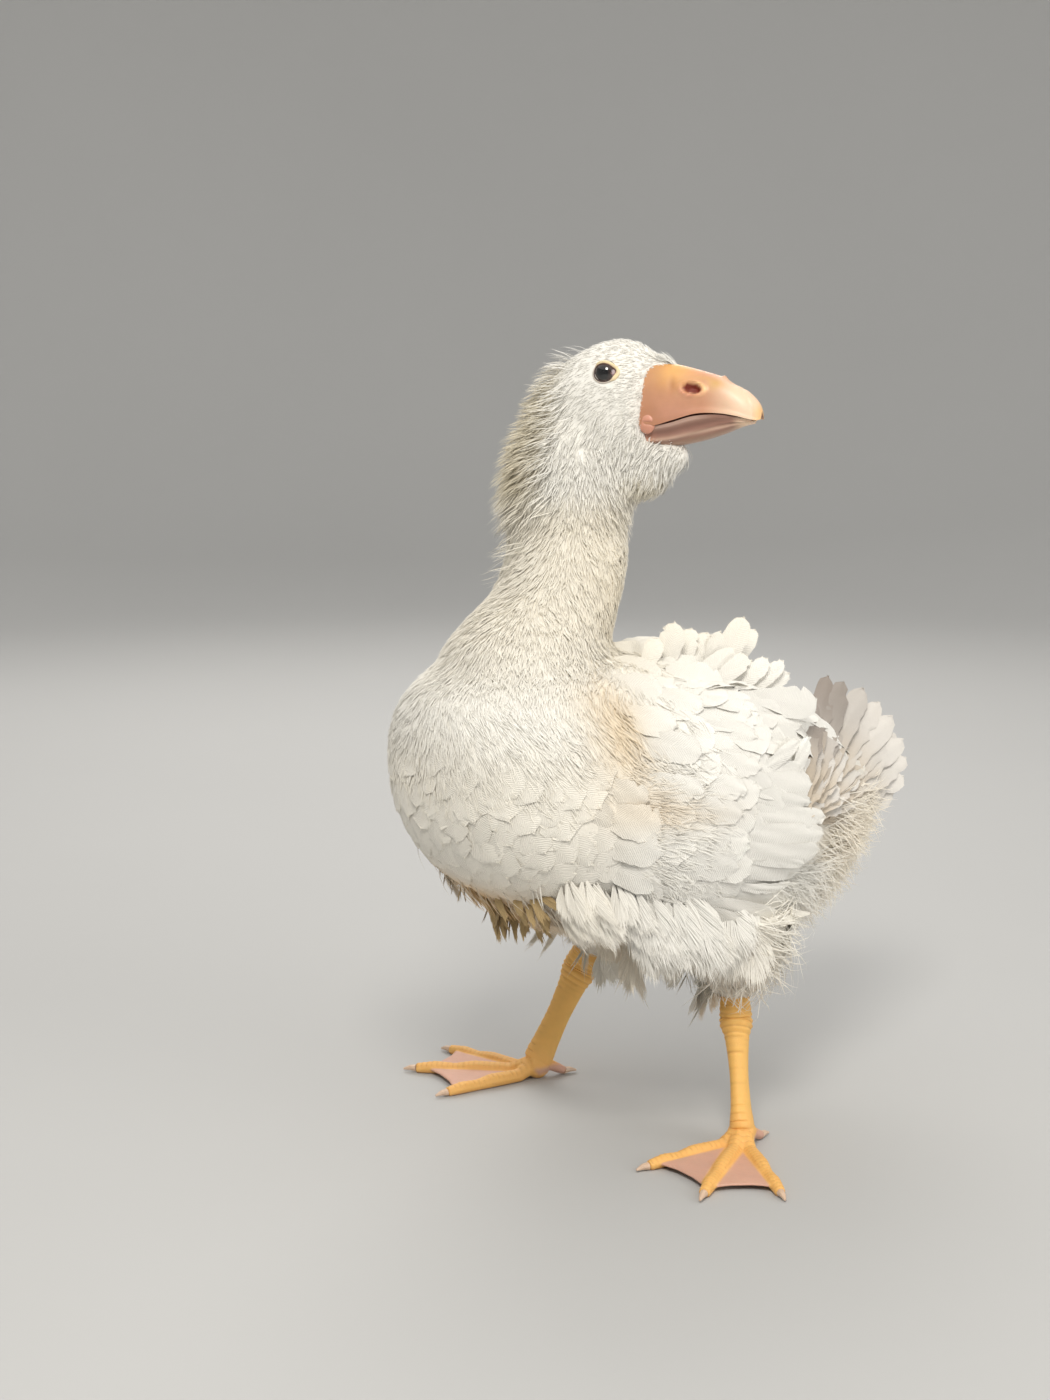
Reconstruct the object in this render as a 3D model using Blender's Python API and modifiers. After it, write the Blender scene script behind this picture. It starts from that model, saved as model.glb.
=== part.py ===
"""A young Sebastopol goose standing with its head turned over its left side, as a life-size still model.

Metres, +Z up. The body faces -Y and its left side is +X. The origin is under the middle of the bounding box,
on the floor. Every size below is measured from a point on the floor between the two ankles.
"""

import math
import random

import bmesh
import bpy
from mathutils import Matrix, Vector
from mathutils.bvhtree import BVHTree

# Gap between neighbouring nodes
GAP = 0.0003

# Torso outline: (y, half width, top, bottom, height of the widest point)
TORSO = (
    (-0.152, 0.018, 0.236, 0.200, 0.220),
    (-0.145, 0.042, 0.256, 0.175, 0.218),
    (-0.123, 0.066, 0.271, 0.150, 0.212),
    (-0.086, 0.081, 0.284, 0.129, 0.203),
    (-0.040, 0.081, 0.278, 0.112, 0.196),
    (0.000, 0.079, 0.271, 0.101, 0.190),
    (0.040, 0.077, 0.263, 0.095, 0.186),
    (0.075, 0.072, 0.249, 0.099, 0.184),
    (0.102, 0.064, 0.234, 0.111, 0.184),
    (0.127, 0.050, 0.218, 0.131, 0.184),
    (0.146, 0.033, 0.206, 0.150, 0.182),
    (0.158, 0.015, 0.196, 0.166, 0.181),
)
TORSO_SQUARENESS = 2.25

# Neck: (x, y, z, radius across, radius fore and aft)
NECK = (
    (0.000, -0.082, 0.200, 0.062, 0.050),
    (0.000, -0.089, 0.250, 0.054, 0.046),
    (-0.002, -0.0645, 0.289, 0.0385, 0.0355),
    (-0.006, -0.050, 0.321, 0.0355, 0.0340),
    (-0.012, -0.045, 0.343, 0.035, 0.035),
    (-0.017, -0.038, 0.372, 0.034, 0.034),
    (-0.018, -0.036, 0.398, 0.024, 0.024),
)

# Head: the point between the eyes, the way the bill points, and the outline (forward, half width, top, bottom)
HEAD_AT = Vector((0.005, -0.0237, 0.421))
HEAD_YAW = math.radians(30)
HEAD = (
    (-0.044, 0.012, -0.012, -0.036),
    (-0.037, 0.019, 0.000, -0.046),
    (-0.024, 0.0235, 0.011, -0.056),
    (-0.008, 0.0245, 0.0175, -0.064),
    (0.004, 0.0230, 0.0185, -0.067),
    (0.013, 0.0190, 0.0165, -0.065),
    (0.021, 0.0140, 0.011, -0.058),
)
CHIN_AT = (0.022, -0.048)
CHIN_SIZE = (0.019, 0.012, 0.0145)

# Eyes, in the head's own axes: forward, to the side, up
EYE_AT = (0.0, 0.0165, 0.0)
EYE_RADIUS = 0.0066
LID_RADIUS, LID_THICKNESS, LID_OUT = 0.0060, 0.0011, 0.0040

# Upper bill: (forward, half width, ridge height, height of the cutting edge)
BILL_UPPER = (
    (0.004, 0.0120, 0.0060, -0.0240),
    (0.014, 0.0130, 0.0062, -0.0265),
    (0.024, 0.0126, 0.0058, -0.0275),
    (0.035, 0.0118, 0.0042, -0.0245),
    (0.048, 0.0108, 0.0012, -0.0208),
    (0.060, 0.0102, -0.0022, -0.0205),
    (0.069, 0.0095, -0.0068, -0.0216),
    (0.0755, 0.0078, -0.0115, -0.0232),
    (0.0795, 0.0050, -0.0158, -0.0240),
    (0.0812, 0.0022, -0.0195, -0.0236),
)
# Lower bill: (forward, half width, upper edge, underside)
BILL_LOWER = (
    (0.004, 0.0112, -0.0255, -0.0370),
    (0.018, 0.0116, -0.0280, -0.0392),
    (0.032, 0.0110, -0.0262, -0.0386),
    (0.046, 0.0098, -0.0222, -0.0362),
    (0.060, 0.0088, -0.0212, -0.0320),
    (0.070, 0.0076, -0.0224, -0.0280),
    (0.0765, 0.0052, -0.0238, -0.0262),
)
NOSTRIL_AT = (0.044, -0.0078)
NOSTRIL_SIZE = (0.0050, 0.0040, 0.0022)

# Wing: centre of its fleshy part (out, y, z) and its half sizes
WING_AT = (0.058, -0.005, 0.190)
WING_SIZE = (0.038, 0.080, 0.070)
# Tiers of wing feathers: y of the roots, lowest and highest root, count, length, half width, angle below level
WING_TIERS = (
    (0.006, 0.149, 0.228, 6, 0.056, 0.0112, 4),
    (-0.016, 0.147, 0.228, 5, 0.047, 0.0128, 8),
    (-0.036, 0.153, 0.229, 5, 0.042, 0.0128, 10),
    (-0.054, 0.166, 0.222, 3, 0.038, 0.0130, 12),
)
# Feathers along the wing's top: (y, z) of the root, length, half width, angle below level, height of the tip
WING_TOP = (
    (0.016, 0.240, 0.052, 0.0118, 0, 0.008),
    (-0.012, 0.243, 0.046, 0.0122, -6, 0.010),
    (-0.040, 0.241, 0.042, 0.0118, -2, 0.007),
)
# Loose feathers at the wing's lower edge: (y, z) of the root, length, half width, angle, height of the tip, bend
WING_EDGE = (
    (-0.050, 0.156, 0.049, 0.0074, 78, 0.012, -0.9),
    (-0.044, 0.154, 0.042, 0.0098, 56, 0.008, 0.5),
    (-0.030, 0.151, 0.044, 0.0100, 62, 0.008, 0.9),
    (-0.014, 0.149, 0.044, 0.0100, 44, 0.010, 0.6),
    (0.003, 0.149, 0.044, 0.0100, 52, 0.009, 0.8),
    (0.021, 0.152, 0.044, 0.0098, 38, 0.009, 0.4),
)

# Tail fan: where its feathers start, how far it is raised and rolled to the left, and its spread to each side
TAIL_AT = Vector((0.0, 0.139, 0.187))
TAIL_RAISED, TAIL_ROLLED = math.radians(21), math.radians(42)
TAIL_SPREAD = math.radians(69)
# Tail feathers and the coverts over them: count, length at the middle, half width, height above the fan
TAIL_FEATHERS = (9, 0.050, 0.0105, 0.000)
TAIL_COVERTS = (4, 0.029, 0.0125, 0.0052)

# Raised feathers of the back: (x, y) of the root, length, half width, height of the tip
BACK = (
    (-0.022, -0.042, 0.042, 0.0120, 0.007),
    (0.022, -0.040, 0.042, 0.0115, 0.016),
    (0.000, -0.026, 0.042, 0.0120, 0.008),
    (-0.024, -0.008, 0.042, 0.0125, 0.012),
    (0.025, -0.020, 0.038, 0.0110, 0.017),
    (0.024, 0.009, 0.040, 0.0120, 0.026),
    (0.000, 0.012, 0.042, 0.0125, 0.009),
    (-0.023, 0.026, 0.042, 0.0120, 0.010),
    (0.002, 0.048, 0.042, 0.0120, 0.007),
    (-0.022, 0.062, 0.038, 0.0115, 0.007),
    (0.021, 0.058, 0.038, 0.0115, 0.006),
)
# Loose feathers of the thighs: (y, z) of the root, length, half width, angle below level
THIGH_FEATHERS = (
    (0.002, 0.116, 0.034, 0.0085, 66),
    (0.020, 0.119, 0.034, 0.0090, 50),
    (0.034, 0.114, 0.032, 0.0085, 42),
    (0.014, 0.100, 0.030, 0.0080, 66),
)

# A vane's rows: how far along each lies, and its breadth there; the plate's thickness at root and tip
VANE_ROWS = ((0.0, 0.55), (0.40, 1.0), (0.76, 0.92), (1.0, 0.38))
VANE_THICKNESS = (0.0011, 0.0007)
ROOT_DEPTH = 0.0040
# Heights added at root and tip, tried in turn, for a vane that would touch another node
LIFTS = ((0.0, 0.0), (0.0012, 0.0), (0.0024, 0.0005), (0.0012, 0.0050), (0.0022, 0.0100), (0.0028, 0.0150))

# Cuts between head, neck, torso and tail: a point and the way that the upper or rear side lies
HEAD_CUT = (Vector((-0.012, -0.046, 0.341)), Vector((-0.06, 0.25, 0.96)).normalized())
NECK_CUT = (Vector((0.0, -0.080, 0.273)), Vector((0.0, -0.20, 0.98)).normalized())
TAIL_CUT = (Vector((0.0, 0.131, 0.190)), Vector((0.0, 1.0, 0.0)))

# Legs: hock and ankle of each side, and the splay of the middle toe away from straight ahead
LEGS = {
    "left": {"side": 1, "hock": (0.055, 0.0235, 0.066), "ankle": (0.079, 0.0087, 0.0115), "splay": 34},
    "right": {"side": -1, "hock": (-0.071, 0.009, 0.066), "ankle": (-0.077, -0.0185, 0.0115), "splay": 42},
}
THIGH_TOP = (0.050, 0.022, 0.128)
THIGH_RADII = ((0.034, 0.0435), (0.031, 0.0395), (0.020, 0.0245), (0.0085, 0.0095))
# Shank: how far along from hock to ankle, half width and half depth
SHANK = (
    (0.00, 0.0088, 0.0105),
    (0.20, 0.0066, 0.0085),
    (0.50, 0.0050, 0.0072),
    (0.79, 0.0053, 0.0078),
    (0.92, 0.0062, 0.0085),
)
SHANK_TOP = (0.0082, 0.0090)
# Toes: (angle from the middle toe, length, root radius, tip radius)
TOES = {
    "inner": (-38, 0.062, 0.0048, 0.0032),
    "middle": (0, 0.074, 0.0052, 0.0034),
    "outer": (32, 0.069, 0.0048, 0.0032),
}
WEB_THICKNESS = 0.0016
HIND_TOE = (0.017, 0.0030)
CLAW_LENGTH, CLAW_RADIUS = 0.0085, 0.0024

# Meshing of the flesh
VOXEL = 0.0045
SMOOTHING = 6
FLESH_FACES = 2900


def clear_scene():
    """Removes what the startup file holds."""
    for obj in list(bpy.data.objects):
        bpy.data.objects.remove(obj)


def material(name, colour, roughness):
    """A plain Principled material."""
    made = bpy.data.materials.new(name)
    made.use_nodes = True
    shader = made.node_tree.nodes["Principled BSDF"]
    shader.inputs["Base Color"].default_value = (*colour, 1.0)
    shader.inputs["Roughness"].default_value = roughness
    made.diffuse_color = (*colour, 1.0)
    return made


def link(name, mesh, collection=None):
    """A new object for a mesh, in the given collection or in the goose's own."""
    obj = bpy.data.objects.new(name, mesh)
    (collection or bpy.data.collections["sebastopol_goose"]).objects.link(obj)
    return obj


def from_bmesh(name, bm, collection=None):
    """Turns a bmesh into an object with its faces pointing out."""
    bmesh.ops.recalc_face_normals(bm, faces=bm.faces)
    mesh = bpy.data.meshes.new(name)
    bm.to_mesh(mesh)
    bm.free()
    return link(name, mesh, collection)


def to_bmesh(obj):
    """A bmesh of the object's evaluated mesh, in world space."""
    bpy.context.view_layer.update()
    graph = bpy.context.evaluated_depsgraph_get()
    mesh = bpy.data.meshes.new_from_object(obj.evaluated_get(graph))
    bm = bmesh.new()
    bm.from_mesh(mesh)
    bm.transform(obj.matrix_world)
    bpy.data.meshes.remove(mesh)
    return bm


def bake(obj):
    """Applies an object's modifiers and placement to its mesh."""
    bm = to_bmesh(obj)
    obj.modifiers.clear()
    obj.matrix_world = Matrix.Identity(4)
    bm.to_mesh(obj.data)
    bm.free()
    return obj


def copied(obj, name):
    """A second object with its own copy of the mesh."""
    made = link(name, obj.data.copy())
    made.matrix_world = obj.matrix_world.copy()
    return made


def largest(obj):
    """Keeps only the object's largest closed surface."""
    bm = bmesh.new()
    bm.from_mesh(obj.data)
    bmesh.ops.remove_doubles(bm, verts=bm.verts, dist=1e-7)
    bm.faces.ensure_lookup_table()
    left, groups = set(bm.faces), []
    while left:
        group, front = set(), [left.pop()]
        while front:
            face = front.pop()
            group.add(face)
            for edge in face.edges:
                for other in edge.link_faces:
                    if other in left:
                        left.discard(other)
                        front.append(other)
        groups.append(group)
    groups.sort(key=lambda group: -sum(face.calc_area() for face in group))
    extra = [face for group in groups[1:] for face in group]
    bmesh.ops.delete(bm, geom=extra, context="FACES")
    bm.to_mesh(obj.data)
    bm.free()
    return obj


def subtract(obj, cutters, solver="EXACT"):
    """Cuts each cutter out of the object and removes the cutters."""
    for cutter in cutters:
        cut = obj.modifiers.new("cut", "BOOLEAN")
        cut.operation, cut.object, cut.solver = "DIFFERENCE", cutter, solver
        bake(obj)
    for cutter in cutters:
        bpy.data.objects.remove(cutter)
    return largest(obj)


def unite(obj, pieces, solver="EXACT"):
    """Joins closed pieces to the object with one Boolean on a collection, then removes them."""
    group = bpy.data.collections.new("pieces")
    bpy.context.scene.collection.children.link(group)
    for piece in pieces:
        for owner in list(piece.users_collection):
            owner.objects.unlink(piece)
        group.objects.link(piece)
    join = obj.modifiers.new("join", "BOOLEAN")
    join.operation, join.operand_type, join.solver = "UNION", "COLLECTION", solver
    join.collection = group
    bake(obj)
    for piece in list(group.objects):
        bpy.data.objects.remove(piece)
    bpy.data.collections.remove(group)
    return largest(obj)


def grown(obj, by=GAP * 1.2):
    """A copy whose surface stands off along its normals, used as a cutter."""
    made = copied(obj, obj.name + "_grown")
    bm = bmesh.new()
    bm.from_mesh(made.data)
    bm.normal_update()
    for vert, normal in [(vert, vert.normal.copy()) for vert in bm.verts]:
        vert.co += normal * by
    bm.to_mesh(made.data)
    bm.free()
    return made


def ring(centre, right, up, half_width, above, below, squareness=2.0, sides=24):
    """Points of a rounded section, wider or narrower above its centre than below."""
    points = []
    for k in range(sides):
        angle = 2 * math.pi * k / sides
        c, s = math.cos(angle), math.sin(angle)
        across = half_width * math.copysign(abs(c) ** (2 / squareness), c)
        along = (above if s > 0 else below) * math.copysign(abs(s) ** (2 / squareness), s)
        points.append(centre + right * across + up * along)
    return points


def loft(name, rings, collection=None):
    """A closed solid through unlike sections, its ends closed by a fan on each section's middle."""
    bm = bmesh.new()
    rows = [[bm.verts.new(point) for point in points] for points in rings]
    for first, second in zip(rows, rows[1:]):
        for k, vert in enumerate(first):
            following = (k + 1) % len(first)
            bm.faces.new((vert, first[following], second[following], second[k]))
    for row in (rows[0], rows[-1]):
        middle = bm.verts.new(sum((vert.co for vert in row), Vector()) / len(row))
        for k, vert in enumerate(row):
            bm.faces.new((vert, row[(k + 1) % len(row)], middle))
    return from_bmesh(name, bm, collection)


def tube(name, path, sizes, side=None, sides=12):
    """A limb along a path: sizes gives the half width and half depth at each of its points."""
    path = [Vector(point) for point in path]
    rings = []
    for k, point in enumerate(path):
        ahead = (path[min(k + 1, len(path) - 1)] - path[max(k - 1, 0)]).normalized()
        right = (side or Vector((1, 0, 0))).cross(ahead).cross(-ahead).normalized()
        half_width, half_depth = sizes[k]
        rings.append(ring(point, right, ahead.cross(right), half_width, half_depth, half_depth, sides=sides))
    return loft(name, rings)


def ball(name, centre, sizes, turn=None, segments=20, rings=12):
    """A stretched ball: sizes are its half sizes along its own axes, which turn rotates."""
    bm = bmesh.new()
    bmesh.ops.create_uvsphere(bm, u_segments=segments, v_segments=rings, radius=1.0)
    bm.transform((turn or Matrix.Identity(4)) @ Matrix.Diagonal((*sizes, 1.0)))
    bm.transform(Matrix.Translation(centre))
    return from_bmesh(name, bm)


def head_axes():
    """Forward, right side and up of the head."""
    forward = Vector((math.cos(HEAD_YAW), math.sin(HEAD_YAW), 0.0))
    up = Vector((0.0, 0.0, 1.0))
    return forward, forward.cross(up), up


def on_head(forward, side, up):
    """A point given in the head's own axes."""
    axes = head_axes()
    return HEAD_AT + axes[0] * forward + axes[1] * side + axes[2] * up


def head_turn():
    """The rotation from the head's axes (forward, right side, up) to the world's."""
    forward, right, up = head_axes()
    return Matrix((forward, -right, up)).transposed().to_4x4()


def between(rows, steps):
    """More rows on a smooth curve through the given ones, with that many steps to each span."""
    made = []
    for k in range(len(rows) - 1):
        p0, p1, p2, p3 = rows[max(k - 1, 0)], rows[k], rows[k + 1], rows[min(k + 2, len(rows) - 1)]
        for step in range(steps):
            t = step / steps
            made.append(tuple(
                0.5 * (2 * b + (c - a) * t + (2 * a - 5 * b + 4 * c - d) * t ** 2 + (3 * b - a - 3 * c + d) * t ** 3)
                for a, b, c, d in zip(p0, p1, p2, p3)
            ))
    return made + [tuple(rows[-1])]


def torso_rings():
    rings = []
    for y, half_width, top, bottom, wide in between(TORSO, 3):
        centre = Vector((0.0, y, wide))
        sizes = (half_width, top - wide, wide - bottom)
        rings.append(ring(centre, Vector((1, 0, 0)), Vector((0, 0, 1)), *sizes, TORSO_SQUARENESS))
    return rings


def head_rings():
    _, right, up = head_axes()
    rings = []
    for forward, half_width, top, bottom in between(HEAD, 2):
        wide = bottom + 0.6 * (top - bottom)
        sizes = (half_width, top - wide, wide - bottom)
        rings.append(ring(on_head(forward, 0, wide), right, up, *sizes, 2.1))
    return rings


def flesh():
    """Torso, neck and head as one smooth closed surface."""
    neck = between(NECK, 3)
    lumps = [
        loft("torso_lump", torso_rings()),
        tube("neck_lump", [row[:3] for row in neck], [row[3:] for row in neck], sides=24),
        loft("head_lump", head_rings()),
        ball("chin_lump", on_head(CHIN_AT[0], 0, CHIN_AT[1]), CHIN_SIZE, head_turn()),
    ]
    bm = bmesh.new()
    for lump in lumps:
        bm.from_mesh(lump.data)
        bpy.data.objects.remove(lump)
    whole = from_bmesh("flesh", bm)
    remesh = whole.modifiers.new("remesh", "REMESH")
    remesh.mode, remesh.voxel_size = "VOXEL", VOXEL
    smooth = whole.modifiers.new("smooth", "SMOOTH")
    smooth.factor, smooth.iterations = 0.5, SMOOTHING
    bake(whole)
    thin = whole.modifiers.new("thin", "DECIMATE")
    thin.ratio = FLESH_FACES / sum(len(face.vertices) - 2 for face in whole.data.polygons)
    return largest(bake(whole))


def kept(source, name, cuts):
    """The part of a solid on the far side of each cut: a point, a direction and 1 or -1 for the side kept."""
    bm = bmesh.new()
    bm.from_mesh(source.data)
    for (point, normal), side in cuts:
        where = point + normal * side * GAP / 2
        found = bmesh.ops.bisect_plane(
            bm, geom=bm.verts[:] + bm.edges[:] + bm.faces[:], dist=1e-7, plane_co=where,
            plane_no=normal * -side, clear_outer=True,
        )
        rim = [item for item in found["geom_cut"] if isinstance(item, bmesh.types.BMEdge)]
        caps = bmesh.ops.holes_fill(bm, edges=rim)["faces"]
        bmesh.ops.triangulate(bm, faces=caps)
    return largest(from_bmesh(name, bm))


def make_bill(name, rows):
    """One half of the bill: a flat cutting edge and a rounded outer side."""
    _, right, up = head_axes()
    rings = []
    for forward, half_width, high, low in between(rows, 2):
        lower = name == "bill_lower"
        base = high if lower else low
        deep, shallow = high - low, 0.0009
        sizes = (half_width, shallow, deep) if lower else (half_width, deep, shallow)
        rings.append(ring(on_head(forward, 0, base), right, up, *sizes, 2.3, sides=14))
    return loft(name, rings)


def make_head(whole):
    """Head, both halves of the bill and the eyes."""
    upper, lower = make_bill("bill_upper", BILL_UPPER), make_bill("bill_lower", BILL_LOWER)
    subtract(lower, [grown(upper)])
    for side in (1, -1):
        pit = ball(
            "pit", on_head(NOSTRIL_AT[0], side * 0.0095, NOSTRIL_AT[1]), NOSTRIL_SIZE, head_turn(), 10, 6
        )
        subtract(upper, [pit])
    head = kept(whole, "head", [(HEAD_CUT, 1)])
    eyes, lids = [], []
    for name, side in (("eye_right", 1), ("eye_left", -1)):
        centre = on_head(EYE_AT[0], side * EYE_AT[1], EYE_AT[2])
        eyes.append(ball(name, centre, (EYE_RADIUS,) * 3, head_turn(), 16, 9))
        lids.append(lid(name + "_lid", centre, side))
    unite(head, lids)
    subtract(head, [grown(upper), grown(lower)] + [grown(eye) for eye in eyes])
    return head, upper, lower, eyes


def lid(name, centre, side):
    """The raised rim of the eyelids, round the part of the eyeball that shows."""
    bpy.ops.mesh.primitive_torus_add(
        major_radius=LID_RADIUS, minor_radius=LID_THICKNESS, major_segments=18, minor_segments=5
    )
    rim = bpy.context.object
    rim.name = name
    outward = head_axes()[1] * side
    turn = outward.to_track_quat("Z", "Y").to_matrix().to_4x4()
    rim.matrix_world = Matrix.Translation(centre + outward * LID_OUT) @ turn
    for owner in list(rim.users_collection):
        owner.objects.unlink(rim)
    bpy.data.collections["sebastopol_goose"].objects.link(rim)
    return bake(rim)


def vane(name, path, across, half_width, cup=0.06):
    """A feather's vane as a closed plate along a path, three points to a row, split alike on both faces."""
    bm = bmesh.new()
    grid, last = {}, len(path) - 1
    for i, point in enumerate(path):
        ahead = (path[min(i + 1, last)] - path[max(i - 1, 0)]).normalized()
        side = (across[i] - ahead * across[i].dot(ahead)).normalized()
        up = side.cross(ahead)
        share, breadth = VANE_ROWS[i]
        half = half_width * breadth
        thick = VANE_THICKNESS[0] + (VANE_THICKNESS[1] - VANE_THICKNESS[0]) * share
        for j in (-1, 0, 1):
            back = ahead * half * 0.9 * abs(j) if i == last else Vector()
            spot = point + side * half * j - up * cup * half * abs(j) - back
            grid[1, i, j] = bm.verts.new(spot + up * thick / 2)
            grid[0, i, j] = bm.verts.new(spot - up * thick / 2)
    for i in range(last):
        for j in (-1, 0):
            for level in (0, 1):
                bm.faces.new((grid[level, i, j], grid[level, i + 1, j], grid[level, i + 1, j + 1]))
                bm.faces.new((grid[level, i, j], grid[level, i + 1, j + 1], grid[level, i, j + 1]))
    rim = [(i, -1) for i in range(last + 1)] + [(last, 0)] + [(i, 1) for i in range(last, -1, -1)] + [(0, 0)]
    for k, here in enumerate(rim):
        there = rim[(k + 1) % len(rim)]
        bm.faces.new((grid[(0, *here)], grid[(0, *there)], grid[(1, *there)]))
        bm.faces.new((grid[(0, *here)], grid[(1, *there)], grid[(1, *here)]))
    return from_bmesh(name, bm)


def laid(surface, root, heading, length, tip_height, roll=0.0, bend=0.0, lift=(0.0, 0.0)):
    """Points and across directions of a vane sunk at its root, which follows a surface and rises."""
    here, normal = surface.find_nearest(root)[:2]
    path, across, before = [], [], 0.0
    for share, _ in VANE_ROWS:
        ahead = (heading - normal * heading.dot(normal)).normalized()
        here, normal = surface.find_nearest(here + ahead * length * (share - before))[:2]
        heading = Matrix.Rotation(bend * (share - before), 3, normal) @ ahead
        rise = -ROOT_DEPTH + (ROOT_DEPTH + 0.0025) * share ** 0.6 + (tip_height - 0.0025) * share ** 2
        rise += lift[0] + (lift[1] - lift[0]) * share
        path.append(here + normal * rise)
        across.append(Matrix.Rotation(roll, 3, heading) @ normal.cross(heading))
        before = share
    return path, across


def tree(obj):
    """A lookup of an object's surface."""
    bm = bmesh.new()
    bm.from_mesh(obj.data)
    found = BVHTree.FromBMesh(bm)
    bm.free()
    return found


class Feathering:
    """Adds vanes to nodes, keeping each clear of the other nodes and of their vanes."""

    def __init__(self, nodes):
        self.nodes = {node.name: node for node in nodes}
        self.vanes = {name: [] for name in self.nodes}
        self.walls = {name: [] for name in self.nodes}
        for node in nodes:
            self.block(node.name, node)

    def block(self, name, obj):
        """Notes a solid that the other nodes' vanes keep clear of."""
        wall = grown(obj, GAP * 1.5)
        self.walls[name].append(tree(wall))
        bpy.data.objects.remove(wall)

    def free(self, name, obj):
        """Whether a vane of one node is clear of every other node."""
        own = tree(obj)
        others = [wall for other, walls in self.walls.items() if other != name for wall in walls]
        return not any(own.overlap(wall) for wall in others)

    def add(self, name, make):
        """Adds a vane at the first height that clears the other nodes, or leaves it out."""
        for lift in LIFTS:
            made = make(lift)
            if self.free(name, made):
                self.vanes[name].append(made)
                self.block(name, made)
                return
            bpy.data.objects.remove(made)

    def join(self):
        """Fuses every node with its vanes."""
        for name, node in self.nodes.items():
            if self.vanes[name]:
                unite(node, self.vanes[name], "MANIFOLD")


def make_wing(side, torso):
    """The fleshy part of one folded wing, against the torso's side."""
    out, y, z = WING_AT
    name = "wing_left" if side > 0 else "wing_right"
    wing = ball(name, Vector((side * out, y, z)), WING_SIZE, None, 18, 10)
    return subtract(wing, [grown(torso)])


def outer_point(surface, side, y, z):
    """The point of a surface that shows from its side at that y and z."""
    return surface.ray_cast(Vector((side * 0.3, y, z)), Vector((-side, 0, 0)))[0]


def slanted(side, angle):
    """A direction backward and, by the angle, downward."""
    return Vector((0.0, math.cos(math.radians(angle)), -math.sin(math.radians(angle))))


def feather_wing(coat, side, draw):
    """Tiers of flight feathers and coverts, and the feathers of the wing's top and lower edge."""
    name = "wing_left" if side > 0 else "wing_right"
    surface = tree(coat.nodes[name])

    def add(y, z, length, half_width, angle, tip_height, roll, bend):
        root = outer_point(surface, side, y, z)
        def make(lift):
            points, across = laid(surface, root, slanted(side, angle), length, tip_height, roll, bend, lift)
            return vane(name + "_vane", points, across, half_width)

        coat.add(name, make)

    for y, low, high, count, length, half_width, angle in WING_TIERS:
        for k in range(count):
            z = low + (high - low) * (k + draw.uniform(-0.12, 0.12)) / (count - 1)
            tilt = angle + draw.uniform(-7, 7) + 10 * (0.5 - k / (count - 1))
            size = draw.uniform(0.93, 1.07)
            height = draw.uniform(0.004, 0.007)
            root_y, bend = y + draw.uniform(-0.003, 0.003), draw.uniform(-0.2, 0.2)
            add(root_y, z, length * size, half_width, tilt, height, side * 0.14, bend)
    for y, z, length, half_width, angle, height in WING_TOP:
        add(y, z, length, half_width, angle, height, side * 0.10, draw.uniform(-0.2, 0.2))
    for y, z, length, half_width, angle, height, bend in WING_EDGE:
        add(y, z, length, half_width, angle, height, draw.uniform(-0.25, 0.25), side * bend)


def feather_tail(coat):
    """Tail feathers in a fan, the middle one on top, with coverts over their roots."""
    back, across, up = tail_axes()
    for count, length, half_width, height in (TAIL_FEATHERS, TAIL_COVERTS):
        middle = (count - 1) / 2
        for k in range(count):
            share = (k - middle) / middle
            angle = TAIL_SPREAD * share
            out = back * math.cos(angle) + across * math.sin(angle)
            side = up.cross(out)
            reach = length * (1 + 0.10 * share)
            start = TAIL_AT + up * (height - 0.0011 * abs(k - middle))

            def make(lift, out=out, side=side, reach=reach, start=start):
                points = []
                for row, _ in VANE_ROWS:
                    rise = up * (lift[1] * row + 0.004 * row ** 2)
                    points.append(start + out * (0.005 + lift[0] + reach * row) + rise)
                return vane("tail_vane", points, [-side] * len(points), half_width, 0.10)

            coat.add("tail", make)


def feather_torso(coat, draw):
    """Raised feathers of the back."""
    surface = tree(coat.nodes["torso"])

    def add(root, heading, length, half_width, height, roll, bend):
        def make(lift):
            points, across = laid(surface, root, heading, length, height, roll, bend, lift)
            return vane("torso_vane", points, across, half_width)

        coat.add("torso", make)

    for x, y, length, half_width, height in BACK:
        top = surface.ray_cast(Vector((x, y, 0.5)), Vector((0, 0, -1)))[0]
        heading = Vector((x * 4 + draw.uniform(-0.2, 0.2), 1.0, 0.0)).normalized()
        add(top, heading, length, half_width, height, draw.uniform(-0.15, 0.15), draw.uniform(-0.4, 0.4))


def feather_thigh(coat, name, side, draw):
    """Loose feathers that hang over the hock."""
    node = "thigh_" + name
    surface = tree(coat.nodes[node])
    for y, z, length, half_width, angle in THIGH_FEATHERS:
        root = outer_point(surface, side, y, z)
        height, bend = draw.uniform(0.003, 0.006), side * draw.uniform(0.2, 0.7)

        def make(lift, root=root, length=length, half_width=half_width, angle=angle, height=height, bend=bend):
            points, across = laid(surface, root, slanted(side, angle), length, height, 0.0, bend, lift)
            return vane(node + "_vane", points, across, half_width)

        coat.add(node, make)


def tail_axes():
    """The tail fan's middle direction, the way to its right edge and its upper side's normal."""
    back = Vector((0, math.cos(TAIL_RAISED), math.sin(TAIL_RAISED)))
    across = Vector((-math.cos(TAIL_ROLLED), 0, math.sin(TAIL_ROLLED)))
    up = back.cross(across).normalized()
    return back, up.cross(back), up


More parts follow.
